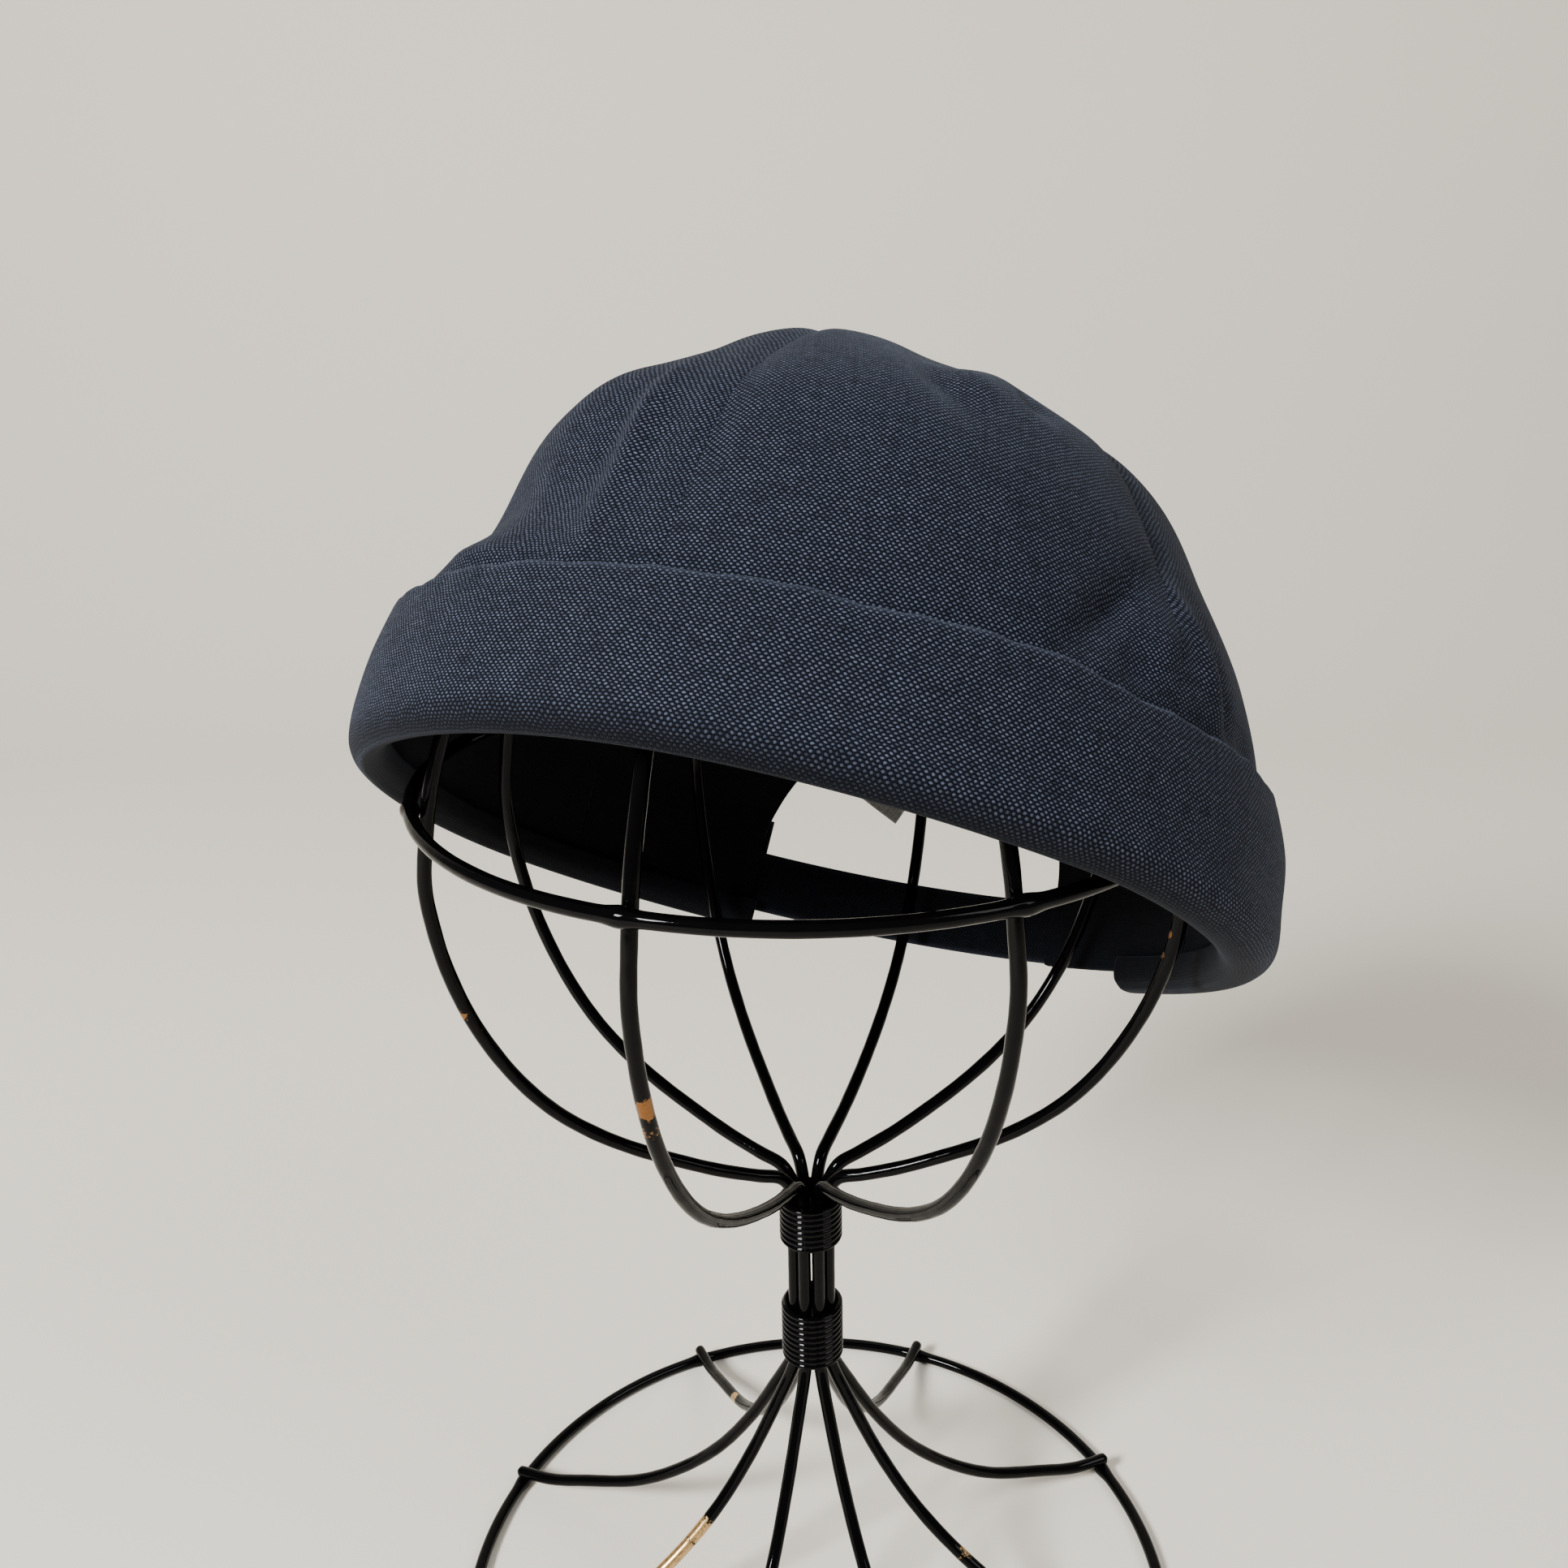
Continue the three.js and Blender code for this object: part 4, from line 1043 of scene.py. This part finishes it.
class CAPSTAND_OT_rings(bpy.types.Operator):
    """Builds the cage ring and the base ring"""
    bl_idname = "capstand.rings"
    bl_label = "Rings"

    def execute(self, context):
        stand = context.scene.stand_settings
        finish = paint(stand)
        low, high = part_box("cage_ring")
        base, wire = stand.base_ring_radius / MM, stand.wire / MM
        cage = (high[0] - low[0]) / 2 / MM - wire / 2
        ribs, legs = zip(*WIRE_BEARINGS)
        for name, node, radius, height, bearings in (
                ("cage_hoop", "cage_ring", cage, CAGE_RING_Z, ribs),
                ("base_hoop", "base_ring", base, wire / 2, legs)):
            make_piece(name, hoop(stand, radius, height, bearings), finish, "stand_paint", node)
        return {"FINISHED"}


class CAPSTAND_OT_windings(bpy.types.Operator):
    """Builds the wire wound round the stem, and the disc on the cage's top"""
    bl_idname = "capstand.windings"
    bl_label = "Windings and top disc"

    def execute(self, context):
        stand = context.scene.stand_settings
        finish = paint(stand)
        for name, node, bottom, height in COLLARS:
            make_piece(name, winding(stand, bottom, height), finish, "stand_paint", node)
        make_piece("domed_top_disc", top_disc(), finish, "stand_paint", "cage_top_disc")
        return {"FINISHED"}


class CAPSTAND_OT_studio(bpy.types.Operator):
    """Sets out the floor, the backdrop, the lights and the camera"""
    bl_idname = "capstand.studio"
    bl_label = "Studio"

    def execute(self, context):
        studio = context.scene.studio_settings
        self.add_ground(studio)
        self.add_lights(context, studio)
        self.add_camera(context, studio)
        return {"FINISHED"}

    def add_ground(self, studio):
        """A sheet level in front, then up a quarter circle into a wall behind."""
        turn = np.linspace(0, np.pi / 2, 24)
        depth = np.concatenate([[-3.0], 0.75 + 0.5 * np.sin(turn), [1.25]])
        height = np.concatenate([[0.0], 0.5 - 0.5 * np.cos(turn), [3.0]])
        across = np.array([-3.0, 3.0])
        points = np.stack(np.broadcast_arrays(across[None], depth[:, None], height[:, None]), -1)
        mesh = bpy.data.meshes.new("backdrop")
        mesh.from_pydata(points.reshape(-1, 3).tolist(), [], lattice(len(depth), 2).tolist())
        mesh.polygons.foreach_set("use_smooth", np.ones(len(mesh.polygons), dtype=bool))
        mesh.materials.append(shared("pale_board", ground_finish, tuple(studio.ground_colour)))
        obj = placed("backdrop", mesh)

    def add_lights(self, context, studio):
        """Large square lamps aimed at the cap, and an even sky."""
        aim = Vector((*STAND_AXIS[:2], 0.2))
        for name, power, size, place in (
                ("key", studio.key_power, 0.36, (-1.0, -0.95, 1.1)),
                ("fill", studio.fill_power, 0.8, (1.2, -0.6, 1.3)),
                ("top", studio.fill_power * 0.2, 0.7, (0.1, 0.35, 1.6))):
            data = bpy.data.lights.new(name, "AREA")
            data.energy = power
            data.size = size
            lamp = placed(name, data)
            lamp.location = place
            lamp.rotation_euler = (aim - Vector(place)).to_track_quat("-Z", "Y").to_euler()
        world = bpy.data.worlds.new("even_sky")
        world.use_nodes = True
        sky = world.node_tree.nodes["Background"]
        sky.inputs["Color"].default_value = (1.0, 1.0, 0.99, 1.0)
        sky.inputs["Strength"].default_value = studio.sky_strength
        context.scene.world = world

    def add_camera(self, context, studio):
        """The camera's axes: heading and pitch give the way it looks, roll turns it about that."""
        yaw, pitch, roll = np.radians([CAMERA_YAW, CAMERA_PITCH, CAMERA_ROLL])
        ahead = np.array([np.sin(yaw) * np.cos(pitch), np.cos(yaw) * np.cos(pitch), np.sin(pitch)])
        level = np.array([np.cos(yaw), -np.sin(yaw), 0.0])
        above = np.cross(level, ahead)
        right = np.cos(roll) * level + np.sin(roll) * above
        up = np.cos(roll) * above - np.sin(roll) * level
        data = bpy.data.cameras.new("camera")
        data.sensor_width = 36.0
        data.lens = studio.lens
        data.clip_start = 0.02
        camera = placed("camera", data)
        matrix = np.eye(4)
        matrix[:3, :3] = np.stack([right, up, -ahead], axis=1)
        matrix[:3, 3] = CAMERA_PLACE * MM + STAND_AXIS
        camera.matrix_world = Matrix(matrix.tolist())
        context.scene.camera = camera


class CAPSTAND_PT_panel(bpy.types.Panel):
    """Lists the settings and the operators in the sidebar"""
    bl_idname = "CAPSTAND_PT_panel"
    bl_label = "Cap and stand"
    bl_space_type = "VIEW_3D"
    bl_region_type = "UI"
    bl_category = "Cap and stand"

    def draw(self, context):
        scene = context.scene
        for title, settings, operators in (
                ("Cap", scene.cap_settings, CAP_OPERATORS),
                ("Stand", scene.stand_settings, STAND_OPERATORS),
                ("Studio", scene.studio_settings, (CAPSTAND_OT_studio,))):
            box = self.layout.box()
            box.label(text=title)
            for name in settings.__annotations__:
                box.prop(settings, name)
            for operator in operators:
                box.operator(operator.bl_idname)


CAP_OPERATORS = (CAPSTAND_OT_crown, CAPSTAND_OT_cuff, CAPSTAND_OT_strap, CAPSTAND_OT_label)
STAND_OPERATORS = (CAPSTAND_OT_wires, CAPSTAND_OT_rings, CAPSTAND_OT_windings)
SETTINGS = {"cap_settings": CapSettings, "stand_settings": StandSettings, "studio_settings": StudioSettings}
CLASSES = (*SETTINGS.values(), *CAP_OPERATORS, *STAND_OPERATORS, CAPSTAND_OT_studio, CAPSTAND_PT_panel)


def register():
    for cls in CLASSES:
        bpy.utils.register_class(cls)
    for name, cls in SETTINGS.items():
        setattr(bpy.types.Scene, name, PointerProperty(type=cls))


def unregister():
    for name in SETTINGS:
        delattr(bpy.types.Scene, name)
    for cls in reversed(CLASSES):
        bpy.utils.unregister_class(cls)


def main():
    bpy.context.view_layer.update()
    register()
    bpy.ops.capstand.studio()
    bpy.ops.capstand.wires()
    bpy.ops.capstand.rings()
    bpy.ops.capstand.windings()
    bpy.ops.capstand.crown()
    bpy.ops.capstand.cuff()
    bpy.ops.capstand.strap()
    bpy.ops.capstand.label()


if __name__ == "__main__":
    main()
